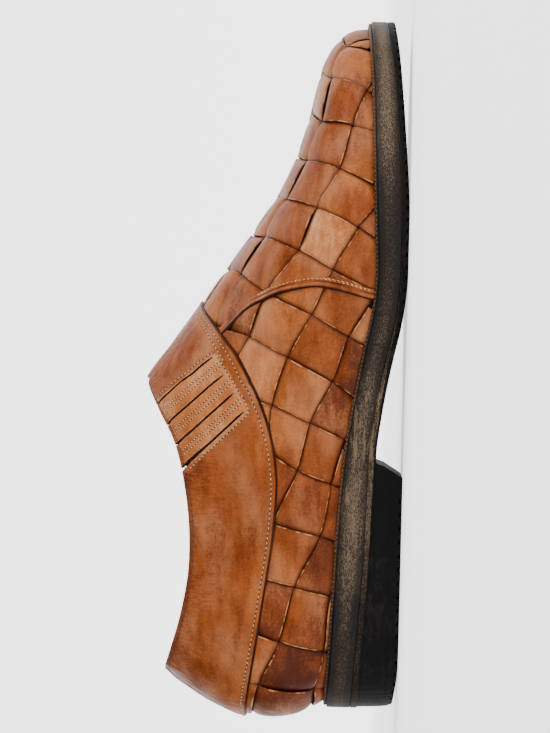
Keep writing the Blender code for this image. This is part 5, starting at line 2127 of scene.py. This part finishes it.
@dataclass(frozen=True)
class PaintedEdge:
    """A stained and waxed sole edge, rubbed lighter in streaks."""

    name: str
    base: Colour = tint(36, 27, 20)
    dark: Colour = tint(13, 9, 7)
    rubbed: Colour = tint(94, 78, 61)
    roughness: float = 0.6

    def shades(self, bench: Bench) -> Socket:
        """Its colour: fine specks and streaks, more of them in some places."""
        flat = bench.stretched((0.4, 1.0, 1.0))
        streaks = bench.fit(bench.noise(2500.0, 3.0, 0.75, flat), 0.35, 0.68, 0.0, 0.66)
        broad = bench.fit(bench.noise(30.0, 4.0, 0.6, flat), 0.3, 0.7, 0.02, 0.42)
        tone = bench.plus(streaks, broad)
        # Painted shade along the midsole's top and foot, under the welt and above the outsole.
        tone = bench.work("SUBTRACT", tone, bench.times(bench.mark("border_shade"), 0.36))
        along = bench.along("X")
        toe = bench.fit(along, 0.07, 0.10, 0.0, 0.10)
        tone = bench.plus(tone, bench.plus(bench.fit(along, -0.105, -0.085, -0.16, 0.0), toe))
        waist = bench.fit(along, -0.015, 0.01, 1.0, 0.0)
        waist = bench.times(bench.fit(along, -0.10, -0.04, 0.0, 0.22), waist)
        slanted = bench.stretched((0.05, 1.0, 1.0), (0.0, 0.16, 0.0))
        scratches = bench.fit(bench.noise(800.0, 2.0, 0.5, slanted), 0.55, 0.63)
        waist = bench.plus(waist, bench.times(scratches, bench.times(waist, 1.8)))
        ball = bench.fit(along, 0.05, 0.09, 1.0, 0.0)
        ball = bench.times(bench.fit(along, -0.01, 0.02, 0.0, 0.16), ball)
        tone = bench.work("SUBTRACT", bench.plus(tone, waist), ball)
        return bench.ramp(tone, [(0.10, self.dark), (0.5, self.base), (1.0, self.rubbed)])

    def material(self) -> Material:
        """Make the material."""
        bench = Bench(self.name)
        colour = self.shades(bench)
        streaks = bench.noise(900.0, 4.0, 0.65, bench.stretched((0.3, 1.0, 1.0)))
        scratch = bench.noise(900.0, 3.0, 0.7, bench.stretched((0.1, 1.0, 1.0)))
        height = bench.plus(bench.times(streaks, 0.6), bench.times(scratch, 0.4))
        rough = bench.noise(38.0, 3.0, 0.55)
        rough = bench.fit(rough, 0.3, 0.7, self.roughness - 0.08, self.roughness + 0.12)
        return bench.finish(colour, rough, bench.bump(height, 0.0003, 0.6), 0.0, 0.16)


@dataclass(frozen=True)
class TreadRubber:
    """Black rubber with a fine moulded tread, scuffed and dusty in places."""

    name: str
    base: Colour = tint(6, 5, 6)
    scuffed: Colour = tint(32, 27, 25)
    edge: PaintedEdge = PaintedEdge("rubber_edge")
    roughness: float = 0.62

    def material(self) -> Material:
        """Make the material."""
        bench = Bench(self.name)
        way = bench.stretched((0.4, 1.0, 1.0))
        scuffs = bench.times(
            bench.fit(bench.noise(46.0, 4.0, 0.6), 0.46, 0.66),
            bench.fit(bench.noise(520.0, 4.0, 0.7, way), 0.42, 0.7),
        )
        colour = bench.mix(scuffs, self.base, self.scuffed)
        line = bench.fit(bench.along("X"), -0.035, 0.055, 0.9, 2.9)
        above = bench.fit(bench.work("SUBTRACT", bench.mark("rise"), line), -0.1, 0.25)
        colour = bench.mix(above, colour, self.edge.shades(bench))
        flat = bench.stretched((1.0, 1.0, 0.0), (0.0, 0.0, math.radians(45)))
        studs = bench.fit(bench.cells(330.0, flat), 0.25, 0.45)
        height = bench.plus(bench.times(studs, 0.5), bench.noise(1300.0, 3.0, 0.7))
        rough = bench.fit(scuffs, 0.0, 1.0, self.roughness, self.roughness + 0.2)
        return bench.finish(colour, rough, bench.bump(height, 0.00025, 0.5), 0.0, 0.08)


@dataclass(frozen=True)
class WaxedThread:
    """Waxed thread."""

    name: str
    colour: Colour
    roughness: float = 0.6

    def material(self) -> Material:
        """Make the material."""
        bench = Bench(self.name)
        patches = bench.fit(bench.noise(700.0, 2.0), 0.35, 0.65)
        colour = bench.mix(patches, self.colour, tuple(value * 0.62 for value in self.colour))
        twist = bench.noise(3200.0, 2.0)
        return bench.finish(colour, self.roughness, bench.bump(twist, 0.0001, 0.4), 0.0, 0.35)


@dataclass(frozen=True)
class RibbedElastic:
    """Woven elastic with fine ribs."""

    name: str
    colour: Colour = tint(74, 66, 44)

    def material(self) -> Material:
        """Make the material."""
        bench = Bench(self.name)
        way = bench.stretched((1.0, 1.0, 0.3), (0.0, 0.7, 0.0))
        threads = bench.fit(bench.noise(1500.0, 2.0, 0.5, way), 0.35, 0.65)
        colour = bench.mix(threads, self.colour, tint(40, 34, 24))
        return bench.finish(colour, 0.8, bench.bump(threads, 0.0002, 0.6), 0.0, 0.2)


@dataclass(frozen=True)
class PaleFloor:
    """The plain pale paper under and behind the shoe."""

    name: str = "pale_paper"

    def material(self) -> Material:
        """Make the material."""
        bench = Bench(self.name)
        patches = bench.fit(bench.noise(3.0, 2.0), 0.3, 0.7)
        colour = bench.mix(patches, (0.92, 0.92, 0.92), (0.90, 0.90, 0.90))
        lit = bench.fit(bench.along("Y"), 0.4, 1.6, 0.95, 2.3)
        bench.shader.inputs["Emission Color"].default_value = (1.0, 1.0, 1.0, 1.0)
        bench.join(lit, bench.shader.inputs["Emission Strength"])
        return bench.finish(colour, 0.9, None, 0.0, 0.1)


@dataclass
class Studio:
    """The floor, the lights and the camera.

    Attributes:
        aim: What the camera looks at.
        distance: How far from it the camera stands.
        below: How far the camera looks up, in degrees.
        roll: How far the shoe leans in the picture, in degrees.
        lens: Focal length.
    """

    aim: tuple[float, float, float] = (0.0004, 0.0, 0.0563)
    distance: float = 1.2
    below: float = 1.7
    roll: float = 1.40
    lens: float = 134.9

    def floor(self) -> Piece:
        """A floor that sweeps up behind the shoe."""
        rows, columns = 60, 24
        path = []
        for share in np.linspace(0, 1, rows):
            if share < 0.5:
                path.append((-3.2 + share / 0.5 * 4.4, 0.0))
            elif share < 0.8:
                angle = (share - 0.5) / 0.3 * math.pi / 2
                path.append((1.2 + math.sin(angle), 1.0 - math.cos(angle)))
            else:
                path.append((2.2, 1.0 + (share - 0.8) / 0.2 * 2.6))
        across = np.linspace(-3.6, 3.6, columns)
        grid = np.array([[(x, y, z) for x in across] for y, z in path])
        bpy.ops.mesh.primitive_grid_add(x_subdivisions=columns - 1, y_subdivisions=rows - 1, size=1)
        sweep = bpy.context.object
        sweep.name = sweep.data.name = "paper_sweep"
        sweep.data.vertices.foreach_set("co", grid.ravel())
        sweep.data.update()
        bpy.ops.object.shade_smooth()
        sweep.data.materials.append(PaleFloor().material())
        return sweep

    def _area(
        self, name: str, at: Sequence[float], size: tuple[float, float], power: float
    ) -> None:
        """A soft square light that looks at the shoe."""
        data = bpy.data.lights.new(name, "AREA")
        data.shape = "RECTANGLE"
        data.size, data.size_y = size
        data.energy = power
        lamp = bpy.data.objects.new(name, data)
        bpy.context.scene.collection.objects.link(lamp)
        lamp.location = at
        way = Vector(self.aim) - Vector(at)
        lamp.rotation_euler = way.to_track_quat("-Z", "Y").to_euler()

    def lights(self) -> None:
        """The soft boxes and the pale surroundings."""
        self._area("key_softbox", (0.95, -1.25, 0.85), (0.9, 0.8), 30.0)
        self._area("top_softbox", (0.35, 0.10, 1.4), (1.2, 0.8), 15.0)
        self._area("side_fill", (-1.0, -1.2, 0.45), (0.8, 0.8), 5.0)
        world = bpy.data.worlds.new("pale_room")
        world.use_nodes = True
        back = world.node_tree.nodes["Background"]
        back.inputs["Color"].default_value = (1.0, 1.0, 1.0, 1.0)
        back.inputs["Strength"].default_value = 0.33
        bpy.context.scene.world = world

    def camera(self) -> Piece:
        """The camera, turned so that the shoe stands toe up in the picture."""
        data = bpy.data.cameras.new("camera")
        data.lens = self.lens
        camera = bpy.data.objects.new("camera", data)
        bpy.context.scene.collection.objects.link(camera)
        low = math.radians(self.below)
        ahead = Vector((0.0, math.cos(low), math.sin(low)))
        level = Vector((1.0, 0.0, 0.0))
        side = ahead.cross(level)
        roll = math.radians(self.roll)
        up = level * math.cos(roll) - side * math.sin(roll)
        right = side * math.cos(roll) + level * math.sin(roll)
        at = Vector(self.aim) - ahead * self.distance
        turned = Matrix((right, up, -ahead)).transposed().to_4x4()
        camera.matrix_world = Matrix.Translation(at) @ turned
        bpy.context.scene.camera = camera
        return camera


@dataclass
class Shoe:
    """The whole shoe, put together piece by piece.

    Attributes:
        last: The surface that the upper follows.
        thread: The pale thread of most stitches.
        furrow: The dark strip under a row of stitches, painted shade of its groove and holes.
    """

    last: Last = field(default_factory=Last)
    thread: Material = field(
        default_factory=WaxedThread("pale_thread", tint(206, 164, 118)).material
    )
    # Painted shade: the furrow strips are dark to stand for the stitch groove and holes.
    furrow: Material = field(
        default_factory=WaxedThread("stitch_furrow", tint(56, 24, 10)).material
    )

    def place(self, piece: Piece, material: Material, slot: str, *nodes: str) -> None:
        """Give a piece its finish and its place in the frame, and report it.

        Args:
            piece: The piece.
            material: Its finish.
            slot: Not used.
            *nodes: The frame's nodes that it stands for.
        """
        piece.data.materials.clear()
        piece.data.materials.append(material)
        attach(piece, BODY)
        if nodes:
            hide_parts(*nodes)
        triangles = sum(len(face.vertices) - 2 for face in piece.data.polygons)
        log.info("%s: %d triangles", piece.name, triangles)

    def sew(self, stitching: Stitching, rows: Sequence[Row], thread: Material, slot: str) -> None:
        """Lay rows of stitches, with the furrows under them."""
        stitches, *furrows = stitching.build(rows)
        self.place(stitches, thread, slot)
        for furrow in furrows:
            self.place(furrow, self.furrow, slot)

    def build(self) -> None:
        """Build every piece."""
        line = CollarLine(self.last)
        leather = WovenLeather("woven_leather").material()

        cross, length = Weave(WeaveChart(self.last, line)).build()
        self.place(cross, leather, "woven_leather", "upper")
        self.place(length, leather, "woven_leather")
        lining = Lining(self.last, line).build()
        self.place(lining, LiningLeather("lining_leather").material(), "insole_leather")

        collar = Collar(line)
        ring = collar.build()
        self._mark_straps(ring)
        numbers = range(1, STRAPS_A_SIDE + 1)
        straps = [f"gore_strap_{side.value}_{number}" for side in Side for number in numbers]
        leather = CollarLeather("collar_leather").material()
        self.place(ring, leather, "collar_leather", "collar", *straps)
        elastic = RibbedElastic("ribbed_elastic").material()
        for side in Side:
            self.place(GoreElastic(self.last).build(side), elastic, "strap_leather")
        self._stitch_collar(collar, ring)

        leather = RidgeLeather("ridge_leather").material()
        for side in Side:
            ridge = SeamRidge(self.last)
            roll = ridge.build(side)
            self.place(roll, leather, "woven_leather", f"seam_ridge_{side.value}")
            spine, square, normal = ridge.frame(side)
            share = np.linspace(0, 1, len(spine))
            rows = []
            for across, start in ((2.5, 0.22), (3.1, 0.62)):
                near = spine + square * across + normal * 1.5
                rows.append(Row(near[(share > start) & (share < 0.94)], 1.9, 1.2, 0.36))
            stitching = Stitching(f"ridge_stitches_{side.value}", roll)
            self.sew(stitching, rows, self.thread, "woven_leather")

        sole, rubber = Sole(self.last), TreadRubber("tread_rubber").material()
        self.place(sole.outsole(), rubber, "tread_rubber", "outsole")
        edge = PaintedEdge("sole_edge").material()
        self.place(sole.midsole(), edge, "sole_edge", "midsole")
        edge = PaintedEdge("welt_edge", tint(30, 20, 14), tint(16, 10, 8), tint(70, 46, 30))
        welt = sole.welt()
        self.place(welt, edge.material(), "welt_edge", "welt")
        thread = WaxedThread("welt_thread", tint(132, 92, 58)).material()
        rows = [Row(sole.welt_line(2.5, 0.1), 3.2, 1.9, 0.55)]
        self.sew(Stitching("welt_stitches", welt), rows, thread, "welt_edge")
        rows = [Row(sole.welt_line(0.6, -0.35), 1.9, 0.8, 0.3)]
        self.sew(Stitching("welt_edge_stitches", welt), rows, thread, "welt_edge")
        leather = InsoleLeather("insole_leather").material()
        self.place(sole.insole(), leather, "insole_leather", "insole")
        self.place(Heel(self.last).build(), rubber, "tread_rubber", "heel")

    def _mark_straps(self, ring: Piece) -> None:
        """Mark the straps on the collar, because their leather is a little lighter."""
        corners = np.empty(len(ring.data.vertices) * 3)
        ring.data.vertices.foreach_get("co", corners)
        corners = corners.reshape(-1, 3) / MM + (ORIGIN_ALONG, ORIGIN_ACROSS, 0.0)
        layer = ring.data.attributes.new("strap", "FLOAT", "POINT")
        layer.data.foreach_set("value", in_window(corners[:, 0], corners[:, 2]))

    def _stitch_collar(self, collar: Collar, ring: Piece) -> None:
        """Sew the collar's rows."""
        last = self.last
        share = np.linspace(0.0, 2.0, 900)
        height = collar.heights(share)

        def around(rise: Array) -> Array:
            """A line round the collar at shares of its height."""
            return last.point(*collar.spot(share, rise), 2.2)

        def beside(places: Sequence[Place], side: Side) -> Array:
            """A line over places of the side view."""
            spots = last.line_beside(places, side)
            return last.point(spots[:, 0], spots[:, 1], 2.5)

        front = np.where(share > 1, 2 - share, share) < 0.46
        rows = [Row(around(2.5 / height), 2.1, 1.3)]
        for side in (share < 1, share > 1):
            rows.append(Row(around(4.6 / height)[front & side], 2.1, 1.3))
        outline = evenly(np.array(window_line()), 60)
        straps = []
        for side in Side:
            rows.append(Row(beside(outline, side), 1.9, 1.25))
            lines = slit_lines()
            for before, after in zip(lines, lines[1:]):
                for across in (0.40, 0.60):
                    top, low = (between(*ends, across) for ends in zip(before, after))
                    way = [between(low, top, part) for part in np.linspace(-0.06, 0.95, 12)]
                    straps.append(Row(beside(way, side), 1.5, 0.9, 0.52))
        stitching = Stitching("collar_stitches", ring, 0.02, 0.75)
        self.sew(stitching, rows, self.thread, "collar_leather")
        stitching = Stitching("strap_stitches", ring, 0.02, 0.6)
        self.sew(stitching, straps, self.thread, "strap_leather")
        dark = WaxedThread("dark_thread", tint(92, 52, 28)).material()
        rows = [Row(around(1 - 1.4 / height), 2.2, 1.3, 0.45)]
        stitching = Stitching("topline_stitches", ring, 0.0, 0.55)
        self.sew(stitching, rows, dark, "collar_leather")


def main() -> None:
    """Dress the shoe, then set up the studio."""
    logging.basicConfig(level=logging.INFO, format="%(name)s: %(message)s")
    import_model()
    bpy.ops.object.select_all(action="DESELECT")
    Shoe().build()
    studio = Studio()
    studio.floor()
    studio.lights()
    studio.camera()


if __name__ == "__main__":
    main()
